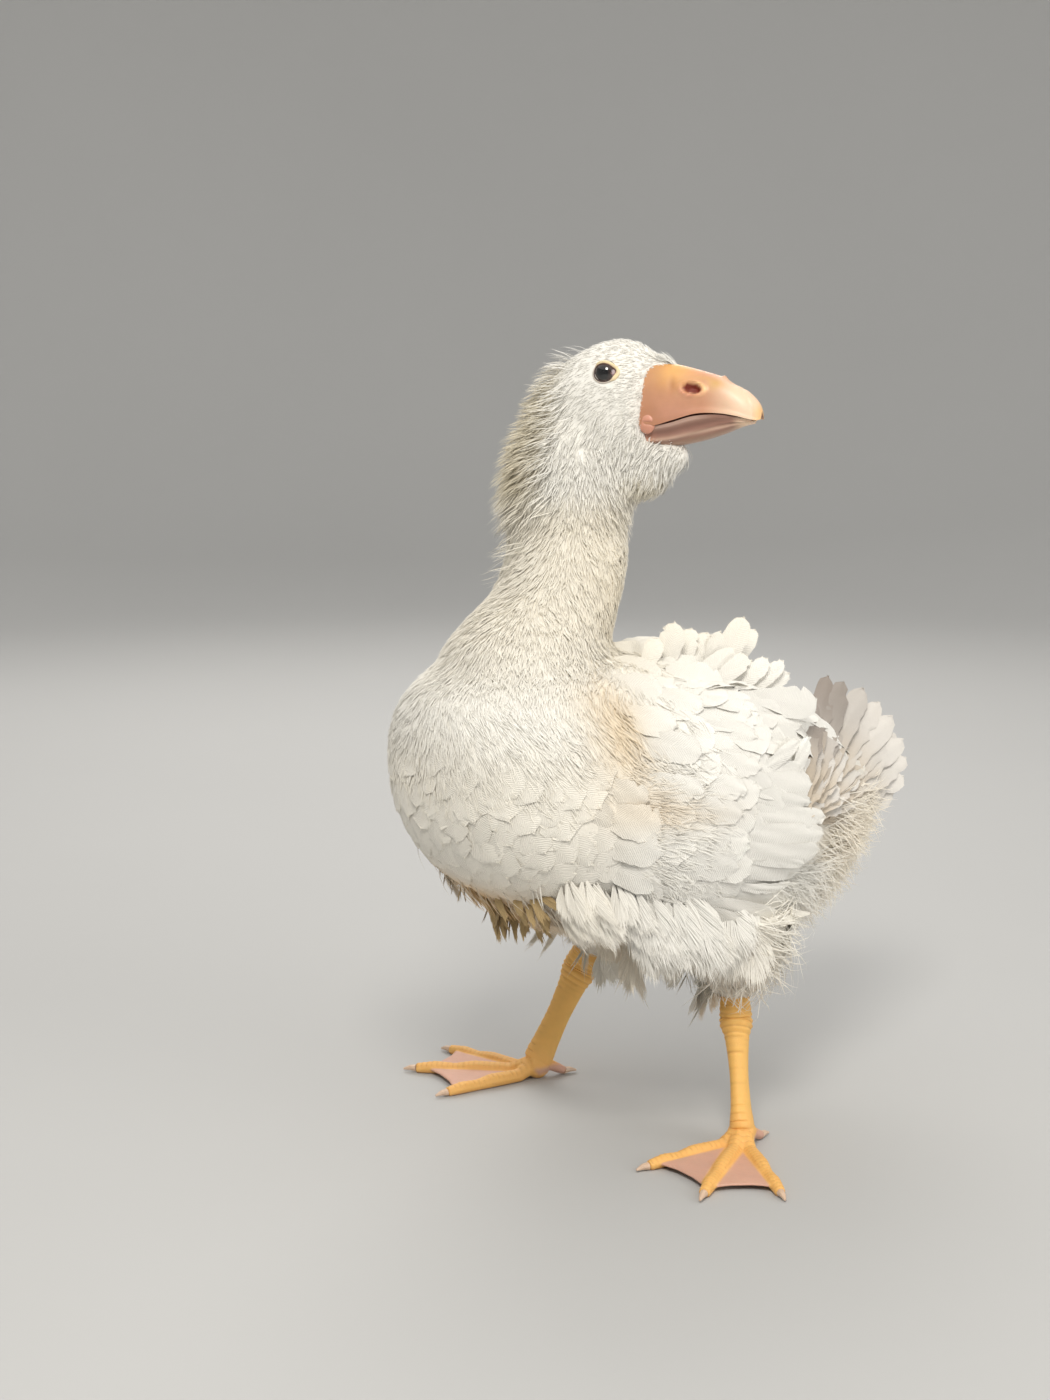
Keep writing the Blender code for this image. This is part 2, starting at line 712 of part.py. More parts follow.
def make_leg(name, facts, neighbours):
    """Thigh, shank, foot and claws of one side."""
    side = facts["side"]
    hock, ankle = Vector(facts["hock"]), Vector(facts["ankle"])
    top = Vector((side * THIGH_TOP[0], THIGH_TOP[1], THIGH_TOP[2]))
    ahead = Vector((0, -1, 0))
    path = [top, top.lerp(hock, 0.35), top.lerp(hock, 0.66), hock + (top - hock) * 0.14]
    thigh = tube("thigh_" + name, path, THIGH_RADII, ahead, 16)
    subtract(thigh, [grown(neighbour) for neighbour in neighbours])
    down = (ankle - hock).normalized()
    knee = hock + (top - hock) * 0.14
    heading = math.radians(facts["splay"])
    front = Vector((side * math.sin(heading), -math.cos(heading), 0))
    shank_path = [knee + (hock - top).normalized() * GAP] + [hock.lerp(ankle, row[0]) for row in SHANK]
    shank = tube("shank_" + name, shank_path, [SHANK_TOP] + [row[1:] for row in SHANK], front, 14)
    foot, claws = make_foot(name, side, ankle, down, math.radians(facts["splay"]))
    return [thigh, shank, foot, *claws]


def make_foot(name, side, ankle, down, splay):
    """Toes, webs and hind toe as one piece, resting on flats at floor level, and a claw on each toe."""
    pieces, claws, tips = [], [], {}
    ground = Vector((ankle.x, ankle.y, 0.0))
    for toe, (angle, length, root_radius, tip_radius) in TOES.items():
        heading = splay + math.radians(angle)
        ahead = Vector((side * math.sin(heading), -math.cos(heading), 0.0))
        across = ahead.cross(Vector((0, 0, 1)))
        path, sizes = [ankle + Vector((0, 0, -0.0015))], [(root_radius * 1.1, root_radius * 1.1)]
        for share in (0.22, 0.52, 0.68, 0.84, 1.0):
            knuckle = 1.12 if share in (0.52, 0.84) else 0.94
            radius = (root_radius + (tip_radius - root_radius) * share) * knuckle
            height = max(radius - 0.0006, 0.0066 * (1 - 2.4 * share))
            path.append(ground + ahead * length * share + Vector((0, 0, height)))
            sizes.append((radius, radius))
        pieces.append(tube(f"toe_{toe}", path, sizes, across, 8))
        tips[toe] = (ground + ahead * length * 0.93, ahead)
        claws.append(make_claw(f"claw_{toe}_{name}", path[-1], ahead, tip_radius))
    for first, second in (("inner", "middle"), ("middle", "outer")):
        pieces.append(make_web(ground, tips[first][0], tips[second][0]))
    back = Vector((side * -math.sin(splay) * 0.4, 1.0, 0)).normalized()
    length, radius = HIND_TOE
    knuckle = ankle + back * length * 0.4 + Vector((0, 0, -0.004))
    path = [ankle, knuckle, ground + back * length + Vector((0, 0, radius * 0.8))]
    sizes = [(0.0042, 0.0042), (0.0036, 0.0036), (radius, radius * 0.9)]
    pieces.append(tube("toe_hind", path, sizes, Vector((1, 0, 0)), 8))
    claws.append(make_claw(f"claw_hind_{name}", path[-1], back, radius * 0.8))
    knob = ball("foot_" + name, ankle + Vector((0, 0, -0.0030)), (0.0078, 0.0086, 0.0088), None, 10, 7)
    unite(knob, pieces)
    floor = (Vector((0, 0, -GAP / 2)), Vector((0, 0, 1)))
    cut = kept(knob, "cut", [(floor, 1), ((ankle - down * 0.0045, down), 1)])
    bpy.data.objects.remove(knob)
    cut.name = "foot_" + name
    for claw in claws:
        subtract(claw, [grown(cut)])
    return cut, claws


def make_web(root, first, second):
    """The skin between two toes: a thin sheet with a hollow front edge."""
    bm = bmesh.new()
    rows, columns = 4, 3
    grid = {}
    for level in (0, 1):
        for i in range(rows + 1):
            for j in range(columns + 1):
                across = j / columns
                edge = 1.0 - 0.06 * math.sin(math.pi * across)
                reach = 0.10 + 0.90 * i / rows
                end = first.lerp(second, across)
                point = root.lerp(end, reach * edge)
                height = 0.0026 + 0.0012 * (1 - reach) + level * WEB_THICKNESS
                grid[level, i, j] = bm.verts.new((point.x, point.y, height))
    for i in range(rows):
        for j in range(columns):
            for level in (0, 1):
                bm.faces.new([grid[level, i + a, j + b] for a, b in ((0, 0), (1, 0), (1, 1))])
                bm.faces.new([grid[level, i + a, j + b] for a, b in ((0, 0), (1, 1), (0, 1))])
    rim = [(i, 0) for i in range(rows + 1)] + [(rows, j) for j in range(1, columns + 1)]
    rim += [(i, columns) for i in range(rows - 1, -1, -1)] + [(0, j) for j in range(columns - 1, 0, -1)]
    for k, here in enumerate(rim):
        there = rim[(k + 1) % len(rim)]
        bm.faces.new((grid[(0, *here)], grid[(0, *there)], grid[(1, *there)], grid[(1, *here)]))
    return from_bmesh("web", bm)


def make_claw(name, root, ahead, radius):
    """A short blunt claw that starts at the toe's end face."""
    start = root - ahead * 0.0006
    size = min(radius, CLAW_RADIUS)
    middle = start + ahead * CLAW_LENGTH * 0.5 + Vector((0, 0, 0.0002))
    path = [start, middle, start + ahead * CLAW_LENGTH - Vector((0, 0, 0.0008))]
    sizes = [(size, size), (size * 0.72, size * 0.70), (0.0006, 0.0006)]
    return tube(name, path, sizes, ahead.cross(Vector((0, 0, 1))), 8)


def centre_on_floor(objects):
    """Moves everything so that the origin is under the middle of the bounding box, on the floor."""
    corners = [vert.co for obj in objects for vert in obj.data.vertices]
    low = [min(corner[axis] for corner in corners) for axis in range(3)]
    high = [max(corner[axis] for corner in corners) for axis in range(3)]
    shift = Vector((-(low[0] + high[0]) / 2, -(low[1] + high[1]) / 2, -low[2]))
    for obj in objects:
        obj.data.transform(Matrix.Translation(shift))


def paint(objects):
    """Gives each node its material and smooth shading."""
    white = material("plumage", (0.86, 0.83, 0.76), 0.85)
    bill = material("bill_horn", (0.86, 0.50, 0.33), 0.45)
    skin = material("leg_skin", (0.88, 0.56, 0.20), 0.55)
    claw = material("claw_horn", (0.78, 0.62, 0.48), 0.40)
    eye = material("eye", (0.02, 0.018, 0.02), 0.08)
    finishes = {"bill": bill, "shank": skin, "foot": skin, "claw": claw, "eye": eye}
    for obj in objects:
        obj.data.materials.clear()
        obj.data.materials.append(finishes.get(obj.name.split("_")[0], white))
        obj.data.shade_smooth()


def main():
    clear_scene()
    goose = bpy.data.collections.new("sebastopol_goose")
    bpy.context.scene.collection.children.link(goose)
    whole = flesh()
    head, upper, lower, eyes = make_head(whole)
    neck = kept(whole, "neck", [(HEAD_CUT, -1), (NECK_CUT, 1)])
    torso = kept(whole, "torso", [(NECK_CUT, -1), (TAIL_CUT, -1)])
    tail = kept(whole, "tail", [(TAIL_CUT, 1)])
    bpy.data.objects.remove(whole)
    wings = [make_wing(side, torso) for side in (1, -1)]
    legs = []
    for name, facts in LEGS.items():
        legs += make_leg(name, facts, [torso, *wings])
    nodes = [head, upper, lower, *eyes, neck, torso, tail, *wings, *legs]
    coat, draw = Feathering(nodes), random.Random(5)
    for side in (1, -1):
        feather_wing(coat, side, draw)
    feather_tail(coat)
    for name, facts in LEGS.items():
        feather_thigh(coat, name, facts["side"], draw)
    feather_torso(coat, draw)
    coat.join()
    centre_on_floor(nodes)
    paint(nodes)


main()
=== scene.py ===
"""A standing sebastopol goose, life size: its plumage, bill, eyes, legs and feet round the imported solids.

Lengths are in metres. Places are given from the floor point midway between the ankles, which SHIFT moves to
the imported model's own origin. The goose faces -Y, its left is +X, and its head is turned over its left side.
"""
import math

import bmesh
import bpy
import numpy as np
from mathutils import Matrix, Vector
from mathutils.bvhtree import BVHTree
from mathutils.kdtree import KDTree


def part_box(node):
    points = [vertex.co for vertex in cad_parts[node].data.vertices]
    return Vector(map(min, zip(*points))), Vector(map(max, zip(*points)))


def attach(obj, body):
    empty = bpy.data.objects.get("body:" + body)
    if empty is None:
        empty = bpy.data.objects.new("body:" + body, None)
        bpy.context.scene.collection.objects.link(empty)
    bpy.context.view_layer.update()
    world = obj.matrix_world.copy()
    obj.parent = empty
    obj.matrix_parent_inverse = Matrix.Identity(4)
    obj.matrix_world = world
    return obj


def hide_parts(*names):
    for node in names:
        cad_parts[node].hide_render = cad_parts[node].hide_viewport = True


# The forms of part.py: torso (y, half width, top, bottom, height of the widest point)
TORSO = (
    (-0.152, 0.018, 0.236, 0.200, 0.220),
    (-0.145, 0.042, 0.256, 0.175, 0.218),
    (-0.123, 0.066, 0.271, 0.150, 0.212),
    (-0.086, 0.081, 0.284, 0.129, 0.203),
    (-0.040, 0.081, 0.278, 0.112, 0.196),
    (0.000, 0.079, 0.271, 0.101, 0.190),
    (0.040, 0.077, 0.263, 0.095, 0.186),
    (0.075, 0.072, 0.249, 0.099, 0.184),
    (0.102, 0.064, 0.234, 0.111, 0.184),
    (0.127, 0.050, 0.218, 0.131, 0.184),
    (0.146, 0.033, 0.206, 0.150, 0.182),
    (0.158, 0.015, 0.196, 0.166, 0.181),
)
TORSO_SQUARENESS = 2.25
# Neck: (x, y, z, radius across, radius fore and aft)
NECK = (
    (0.000, -0.082, 0.200, 0.062, 0.050),
    (0.000, -0.089, 0.250, 0.054, 0.046),
    (-0.002, -0.0645, 0.289, 0.0385, 0.0355),
    (-0.006, -0.050, 0.321, 0.0355, 0.0340),
    (-0.012, -0.045, 0.343, 0.035, 0.035),
    (-0.017, -0.038, 0.372, 0.034, 0.034),
    (-0.018, -0.036, 0.398, 0.024, 0.024),
)
# Head: the point between the eyes, the way the bill points, and its outline
# (forward, half width, top, bottom)
HEAD_AT = Vector((0.005, -0.0237, 0.421))
HEAD_YAW = math.radians(30)
HEAD = (
    (-0.044, 0.012, -0.012, -0.036),
    (-0.037, 0.019, 0.000, -0.046),
    (-0.024, 0.0235, 0.011, -0.056),
    (-0.008, 0.0245, 0.0175, -0.064),
    (0.004, 0.0230, 0.0185, -0.067),
    (0.013, 0.0190, 0.0165, -0.065),
    (0.021, 0.0140, 0.011, -0.058),
)
# Round forms added to the head's outline, chin, brow and throat: (forward, up), half sizes
HEAD_LUMPS = (
    ((0.022, -0.044), (0.0200, 0.0118, 0.0125)),
    ((0.017, 0.003), (0.0160, 0.0085, 0.0085)),
    ((0.008, -0.054), (0.0220, 0.0170, 0.0140)),
)
# Eyes, in the head's own axes: forward, to the side, up
EYE_AT = (0.0, 0.0165, 0.0)
EYE_RADIUS = 0.0066
# Upper bill: (forward, half width, ridge height, height of the cutting edge)
BILL_UPPER = (
    (0.004, 0.0120, 0.0060, -0.0240),
    (0.014, 0.0130, 0.0062, -0.0265),
    (0.024, 0.0126, 0.0058, -0.0275),
    (0.035, 0.0118, 0.0042, -0.0245),
    (0.048, 0.0108, 0.0012, -0.0208),
    (0.060, 0.0102, -0.0022, -0.0205),
    (0.069, 0.0095, -0.0068, -0.0216),
    (0.0755, 0.0078, -0.0115, -0.0232),
    (0.0795, 0.0050, -0.0158, -0.0240),
    (0.0812, 0.0022, -0.0195, -0.0236),
)
# Lower bill: (forward, half width, upper edge, underside)
BILL_LOWER = (
    (0.004, 0.0112, -0.0255, -0.0370),
    (0.018, 0.0116, -0.0280, -0.0392),
    (0.032, 0.0110, -0.0262, -0.0386),
    (0.046, 0.0098, -0.0222, -0.0362),
    (0.060, 0.0088, -0.0212, -0.0320),
    (0.070, 0.0076, -0.0224, -0.0280),
    (0.0765, 0.0052, -0.0238, -0.0262),
)
# Wing: centre of its fleshy part (out, y, z) and its half sizes; thigh: its top and its radii
WING_AT = (0.058, -0.005, 0.190)
WING_SIZE = (0.038, 0.080, 0.070)
THIGH_TOP = (0.050, 0.022, 0.128)
THIGH_RADII = ((0.034, 0.0435), (0.031, 0.0395), (0.020, 0.0245), (0.0085, 0.0095))
# How far up from the hock the thigh's feathers end, as a share of the way to its top
KNEE = 0.14
LEGS = {
    "left": {"side": 1, "hock": (0.055, 0.0235, 0.066), "ankle": (0.079, 0.0087, 0.0115), "splay": 34},
    "right": {"side": -1, "hock": (-0.071, 0.009, 0.066), "ankle": (-0.077, -0.0185, 0.0115), "splay": 42},
}
# Shank: (share of the way from hock to ankle, half width, half depth), and the same sizes above the hock
SHANK = (
    (0.00, 0.0088, 0.0105),
    (0.10, 0.0086, 0.0100),
    (0.20, 0.0066, 0.0085),
    (0.50, 0.0050, 0.0072),
    (0.79, 0.0053, 0.0078),
    (0.92, 0.0062, 0.0085),
    (1.00, 0.0066, 0.0082),
    (1.05, 0.0052, 0.0060),
)
SHANK_TOP = (0.0082, 0.0090)
SHANK_HIDDEN = (0.0066, 0.0072)
# Toes: (angle, length, radius at root and tip)
TOES = {
    "inner": (-38, 0.062, 0.0048, 0.0032),
    "middle": (0, 0.074, 0.0052, 0.0034),
    "outer": (32, 0.069, 0.0048, 0.0032),
}
# Tail: the fan's middle, and how it is raised behind and rolled to the left
TAIL_AT = Vector((0.0, 0.139, 0.187))
TAIL_RAISED, TAIL_ROLLED = math.radians(21), math.radians(42)

# Meshing of the skin: size of its cells, rounds of smoothing before and after it is moved in under the coat
VOXEL, SMOOTHING, RELAXING = 0.0026, 10, 3

# Camera: heading of the view, focal length in pixels of a 1050 x 1400 picture, pitch, and its place
VIEW_HEADING = math.radians(55)
FRAME_WIDTH, FRAME_HEIGHT, FOCAL_PIXELS = 1050, 1400, 2104
PITCH = math.radians(9.7)
CAMERA_ASIDE, CAMERA_BACK, CAMERA_HEIGHT = -0.0669, 1.16, 0.438
UP = Vector((0.0, 0.0, 1.0))
# Turns a place or direction of the left side into the right side's
MIRROR = np.array([-1.0, 1.0, 1.0])
# The greatest value of a colour, so that no surface gives back more light than real feather or horn
BRIGHTEST = 0.93


def step(values, low, high):
    """0 at low and 1 at high, smooth between them; low may be the greater."""
    t = np.clip((values - low) / (high - low), 0.0, 1.0)
    return t * t * (3.0 - 2.0 * t)


def unit(vectors):
    """Each vector at length one."""
    return vectors / np.maximum(np.linalg.norm(vectors, axis=-1, keepdims=True), 1e-12)


def head_axes():
    """Forward, right side and up of the head."""
    forward = Vector((math.cos(HEAD_YAW), math.sin(HEAD_YAW), 0.0))
    return forward, forward.cross(UP), UP.copy()


def on_head(forward, side, up):
    """A point given in the head's own axes."""
    axes = head_axes()
    return HEAD_AT + axes[0] * forward + axes[1] * side + axes[2] * up


def head_turn():
    """The rotation from the head's axes (forward, right side, up) to the world's."""
    forward, right, up = head_axes()
    return Matrix((forward, -right, up)).transposed().to_4x4()


def head_place(points):
    """Points in the head's own axes: forward, side and up."""
    off = points - np.array(HEAD_AT)
    return [off @ np.array(axis) for axis in head_axes()]


# The frame

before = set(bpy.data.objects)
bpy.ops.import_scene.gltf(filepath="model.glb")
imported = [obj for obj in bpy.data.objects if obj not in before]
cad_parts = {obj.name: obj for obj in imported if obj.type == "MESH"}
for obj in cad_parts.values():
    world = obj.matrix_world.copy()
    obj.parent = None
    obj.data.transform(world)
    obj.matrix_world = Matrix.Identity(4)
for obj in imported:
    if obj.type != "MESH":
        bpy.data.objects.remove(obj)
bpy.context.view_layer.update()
eye_low, eye_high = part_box("eye_right")
SHIFT = (eye_low + eye_high) / 2 - on_head(*EYE_AT)


def finish_piece(obj, replaced=()):
    """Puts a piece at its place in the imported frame, on the goose's one body."""
    obj.location = SHIFT
    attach(obj, "root")
    if replaced:
        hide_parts(*replaced)
    return obj


def link(name, mesh):
    """A new object for a mesh."""
    obj = bpy.data.objects.new(name, mesh)
    bpy.context.scene.collection.objects.link(obj)
    return obj


def from_bmesh(name, bm):
    """Turns a bmesh into an object with its faces pointing out."""
    bmesh.ops.recalc_face_normals(bm, faces=bm.faces)
    mesh = bpy.data.meshes.new(name)
    bm.to_mesh(mesh)
    bm.free()
    return link(name, mesh)


def bake(obj):
    """Applies an object's modifiers to its mesh."""
    bpy.context.view_layer.update()
    graph = bpy.context.evaluated_depsgraph_get()
    mesh = bpy.data.meshes.new_from_object(obj.evaluated_get(graph))
    old = obj.data
    obj.modifiers.clear()
    obj.data = mesh
    bpy.data.meshes.remove(old)
    return obj


def points_of(obj):
    """An object's points as rows of an array."""
    found = np.empty(len(obj.data.vertices) * 3)
    obj.data.vertices.foreach_get("co", found)
    return found.reshape(-1, 3)


def normals_of(obj):
    """An object's point normals as rows of an array."""
    found = np.empty(len(obj.data.vertices) * 3)
    obj.data.vertices.foreach_get("normal", found)
    return found.reshape(-1, 3)


def move_points(obj, points):
    """Gives an object's mesh new places for its points."""
    obj.data.vertices.foreach_set("co", np.ascontiguousarray(points).ravel())
    obj.data.update()


def ring(centre, right, up, half_width, above, below, squareness=2.0, sides=24):
    """Points of a rounded section, wider or narrower above its centre than below."""
    points = []
    for k in range(sides):
        angle = 2 * math.pi * k / sides
        c, s = math.cos(angle), math.sin(angle)
        across = half_width * math.copysign(abs(c) ** (2 / squareness), c)
        along = (above if s > 0 else below) * math.copysign(abs(s) ** (2 / squareness), s)
        points.append(centre + right * across + up * along)
    return points


def loft(name, rings):
    """A closed solid through unlike sections, its ends closed by a fan on each section's middle."""
    bm = bmesh.new()
    rows = [[bm.verts.new(point) for point in points] for points in rings]
    for first, second in zip(rows, rows[1:]):
        for k, vert in enumerate(first):
            following = (k + 1) % len(first)
            bm.faces.new((vert, first[following], second[following], second[k]))
    for row in (rows[0], rows[-1]):
        middle = bm.verts.new(sum((vert.co for vert in row), Vector()) / len(row))
        for k, vert in enumerate(row):
            bm.faces.new((vert, row[(k + 1) % len(row)], middle))
    return from_bmesh(name, bm)


def tube(name, path, sizes, side=None, sides=12):
    """A limb along a path: sizes gives the half width and half depth at each of its points."""
    path = [Vector(point) for point in path]
    rings = []
    for k, point in enumerate(path):
        ahead = (path[min(k + 1, len(path) - 1)] - path[max(k - 1, 0)]).normalized()
        right = (side or Vector((1, 0, 0))).cross(ahead).cross(-ahead).normalized()
        half_width, half_depth = sizes[k]
        rings.append(ring(point, right, ahead.cross(right), half_width, half_depth, half_depth, sides=sides))
    return loft(name, rings)


def ball(name, centre, sizes, turn=None, segments=24, rings=14):
    """A stretched ball: sizes are its half sizes along its own axes, which turn rotates."""
    bm = bmesh.new()
    bmesh.ops.create_uvsphere(bm, u_segments=segments, v_segments=rings, radius=1.0)
    bm.transform((turn or Matrix.Identity(4)) @ Matrix.Diagonal((*sizes, 1.0)))
    bm.transform(Matrix.Translation(centre))
    return from_bmesh(name, bm)


def between(rows, steps):
    """More rows on a smooth curve through the given ones, with that many steps to each span."""
    made = []
    for k in range(len(rows) - 1):
        p0, p1, p2, p3 = rows[max(k - 1, 0)], rows[k], rows[k + 1], rows[min(k + 2, len(rows) - 1)]
        for part in range(steps):
            t = part / steps
            made.append(tuple(
                0.5 * (2 * b + (c - a) * t
                       + (2 * a - 5 * b + 4 * c - d) * t ** 2 + (3 * b - a - 3 * c + d) * t ** 3)
                for a, b, c, d in zip(p0, p1, p2, p3)
            ))
    return made + [tuple(rows[-1])]


def torso_rings():
    """The torso's sections from breast to rump."""
    rings = []
    for y, half_width, top, bottom, wide in between(TORSO, 4):
        centre = Vector((0.0, y, wide))
        sizes = (half_width, top - wide, wide - bottom)
        rings.append(ring(centre, Vector((1, 0, 0)), UP, *sizes, TORSO_SQUARENESS, 36))
    return rings


def head_rings():
    """The head's sections from the back of the skull to the forehead."""
    _, right, up = head_axes()
    rings = []
    for forward, half_width, top, bottom in between(HEAD, 3):
        wide = bottom + 0.6 * (top - bottom)
        sizes = (half_width, top - wide, wide - bottom)
        rings.append(ring(on_head(forward, 0, wide), right, up, *sizes, 2.1, 32))
    return rings


def coat_depth(points):
    """How far the skin lies inside the solids' outline at each point."""
    _, y, z = points.T
    f, s, u = head_place(points)
    head = step(z, 0.335, 0.36)
    face = head * step(f, -0.026, 0.0)
    bill_base = step(f, 0.014, 0.019) * step(u, -0.040, -0.034) * step(np.abs(s), 0.004, 0.007)
    depth = 0.0030 - 0.0012 * head - 0.0008 * face + 0.0014 * head * bill_base
    rear = step(y, 0.05, 0.11) * step(z, 0.20, 0.16)
    depth = depth + 0.0035 * rear
    belly = step(z, 0.135, 0.11) * step(y, -0.10, -0.06)
    rump = step(y, 0.085, 0.125) * step(z, 0.185, 0.21)
    return depth + 0.0010 * belly + 0.0050 * rump


def smoothed(obj, rounds, voxel=None):
    """Meshes an object anew with even cells, where a size is given for them, and smooths it."""
    if voxel:
        remesh = obj.modifiers.new("remesh", "REMESH")
        remesh.mode, remesh.voxel_size = "VOXEL", voxel
    smooth = obj.modifiers.new("smooth", "SMOOTH")
    smooth.factor, smooth.iterations = 0.5, rounds
    return bake(obj)


def thigh_top(facts):
    """Where a leg leaves the body."""
    return Vector((facts["side"] * THIGH_TOP[0], THIGH_TOP[1], THIGH_TOP[2]))


def make_skin():
    """Torso, neck, head, wings and thighs as one smooth closed surface, inside the coat."""
    neck = between(NECK, 4)
    lumps = [
        loft("torso_lump", torso_rings()),
        tube("neck_lump", [row[:3] for row in neck], [row[3:] for row in neck], sides=32),
        loft("head_lump", head_rings()),
    ]
    for (forward, up), sizes in HEAD_LUMPS:
        lumps.append(ball("head_lump", on_head(forward, 0, up), sizes, head_turn()))
    for side in (1, -1):
        out, y, z = WING_AT
        lumps.append(ball("wing_lump", Vector((side * out, y, z)), WING_SIZE))
    for facts in LEGS.values():
        top, hock = thigh_top(facts), Vector(facts["hock"])
        path = [top, top.lerp(hock, 0.35), top.lerp(hock, 0.66), hock + (top - hock) * KNEE]
        lumps.append(tube("thigh_lump", path, THIGH_RADII, Vector((0, -1, 0)), 24))
    bm = bmesh.new()
    for lump in lumps:
        bm.from_mesh(lump.data)
        bpy.data.objects.remove(lump)
    skin = smoothed(from_bmesh("goose_skin", bm), SMOOTHING, VOXEL)
    points = points_of(skin)
    move_points(skin, points - normals_of(skin) * coat_depth(points)[:, None])
    return smoothed(skin, RELAXING)


# Marks in the plumage, in linear colour. Each: centre, radii, colour, strength

WHITE = (0.875, 0.855, 0.80)
CREAM = (0.86, 0.80, 0.675)
MARKS = (
    ((0.066, -0.074, 0.238), (0.018, 0.018, 0.040), (0.80, 0.64, 0.42), 0.80),
    ((0.030, -0.040, 0.300), (0.022, 0.022, 0.045), (0.80, 0.71, 0.54), 0.55),
    ((0.076, -0.058, 0.200), (0.018, 0.024, 0.010), (0.72, 0.56, 0.36), 0.50),
    ((0.080, -0.030, 0.194), (0.016, 0.024, 0.006), (0.68, 0.55, 0.38), 0.45),
    ((-0.010, -0.105, 0.140), (0.045, 0.030, 0.018), (0.72, 0.44, 0.15), 1.0),
    ((0.000, -0.060, 0.112), (0.060, 0.040, 0.022), (0.58, 0.42, 0.22), 0.60),
)
# Marks at least this far out are on both sides, and weaker on the hidden one
SIDE_MARK, HIDDEN_SHARE = 0.05, 0.6


def markings(points):
    """The plumage's colour at each point, the same for skin and coat."""
    _, y, z = points.T
    f, _, u = head_place(points)
    colour = np.tile(np.array(WHITE), (len(points), 1))

    def tint(share, shade):
        """Moves the colours towards a shade by a share at each point."""
        nonlocal colour
        colour = colour + (np.array(shade) - colour) * np.clip(share, 0, 1)[:, None]

    head = step(z, 0.345, 0.365)
    neck = step(z, 0.245, 0.30) * (1 - head)
    tint(0.7 * neck, CREAM)
    nape = head * step(f, -0.022, -0.040)
    tint(0.75 * nape, (0.70, 0.62, 0.44))
    tint(0.60 * head * step(u, -0.050, -0.062) * step(f, 0.0, 0.02), (0.74, 0.66, 0.48))
    rear = step(y, 0.045, 0.095) * step(z, 0.215, 0.17)
    tint(0.75 * rear, (0.90, 0.81, 0.66))
    tint(0.45 * step(y, -0.050, -0.110) * step(z, 0.26, 0.21), CREAM)
    belly = step(z, 0.150, 0.115)
    tint(0.45 * belly * (1 - rear), CREAM)
    for centre, radii, shade, strength in MARKS:
        tint(strength * np.exp(-(((points - centre) / radii) ** 2).sum(1)), shade)
        if centre[0] >= SIDE_MARK:
            off = (points * MIRROR - centre) / radii
            tint(strength * HIDDEN_SHARE * np.exp(-(off ** 2).sum(1)), shade)
    return colour


# An unwrap of the coat: along the body's spine, and round it

SPINE = np.array([
    (0, 0.19, 0.19), (0, 0.06, 0.185), (0, -0.06, 0.190), (0, -0.089, 0.235), (-0.002, -0.0645, 0.289),
    (-0.012, -0.045, 0.343), (-0.017, -0.038, 0.385), (0.005, -0.0237, 0.412), (0.09, 0.025, 0.400),
])


def unwrap(points):
    """Each point's place on the unwrap, both numbers from 0.02 to 0.98."""
    spans = SPINE[1:] - SPINE[:-1]
    lengths = np.linalg.norm(spans, axis=1)
    starts = np.concatenate([[0], np.cumsum(lengths)])
    best = np.full(len(points), 1e9)
    along, around = np.zeros(len(points)), np.zeros(len(points))
    for k, span in enumerate(spans):
        ahead = span / lengths[k]
        share = np.clip((points - SPINE[k]) @ ahead / lengths[k], 0, 1)
        off = points - (SPINE[k] + share[:, None] * span)
        distance = np.linalg.norm(off, axis=1)
        right = unit(np.array([1.0, 0, 0]) - ahead * ahead[0])
        above = np.cross(ahead, right)
        nearer = distance < best
        best[nearer] = distance[nearer]
        along[nearer] = (starts[k] + share * lengths[k])[nearer]
        around[nearer] = np.arctan2(off @ right, off @ above)[nearer]
    return np.stack([0.02 + 0.96 * along / starts[-1], 0.5 + 0.96 * around / (2 * np.pi)], 1)


def mesh_of(name, points, triangles, shader, colours, uv=None, fibre=None, sharp=None):
    """An object from arrays: points, triangles, each point's colour, and its places on the two UV maps."""
    mesh = bpy.data.meshes.new(name)
    mesh.vertices.add(len(points))
    mesh.vertices.foreach_set("co", np.ascontiguousarray(points, np.float32).ravel())
    mesh.loops.add(len(triangles) * 3)
    corners = np.ascontiguousarray(triangles, np.int32).ravel()
    mesh.loops.foreach_set("vertex_index", corners)
    mesh.polygons.add(len(triangles))
    mesh.polygons.foreach_set("loop_start", np.arange(0, len(corners), 3, dtype=np.int32))
    mesh.update(calc_edges=True)
    for label, places in (("OFBake", uv), ("fibre", fibre)):
        if places is not None:
            layer = mesh.uv_layers.new(name=label)
            layer.uv.foreach_set("vector", np.ascontiguousarray(places[corners], np.float32).ravel())
    paint_points(mesh, colours)
    if sharp is None:
        mesh.shade_flat()
    else:
        mesh.shade_smooth()
        mesh.set_sharp_from_angle(angle=sharp)
    mesh.materials.append(shader)
    return link(name, mesh)


def paint_points(mesh, colours):
    """Stores a colour for each point of a mesh."""
    layer = mesh.color_attributes.new("tint", "FLOAT_COLOR", "POINT")
    values = np.column_stack([colours, np.ones(len(colours))]).astype(np.float32)
    layer.data.foreach_set("color", values.ravel())


# Random points tried for each one that a spaced set could hold
TRIES = 30


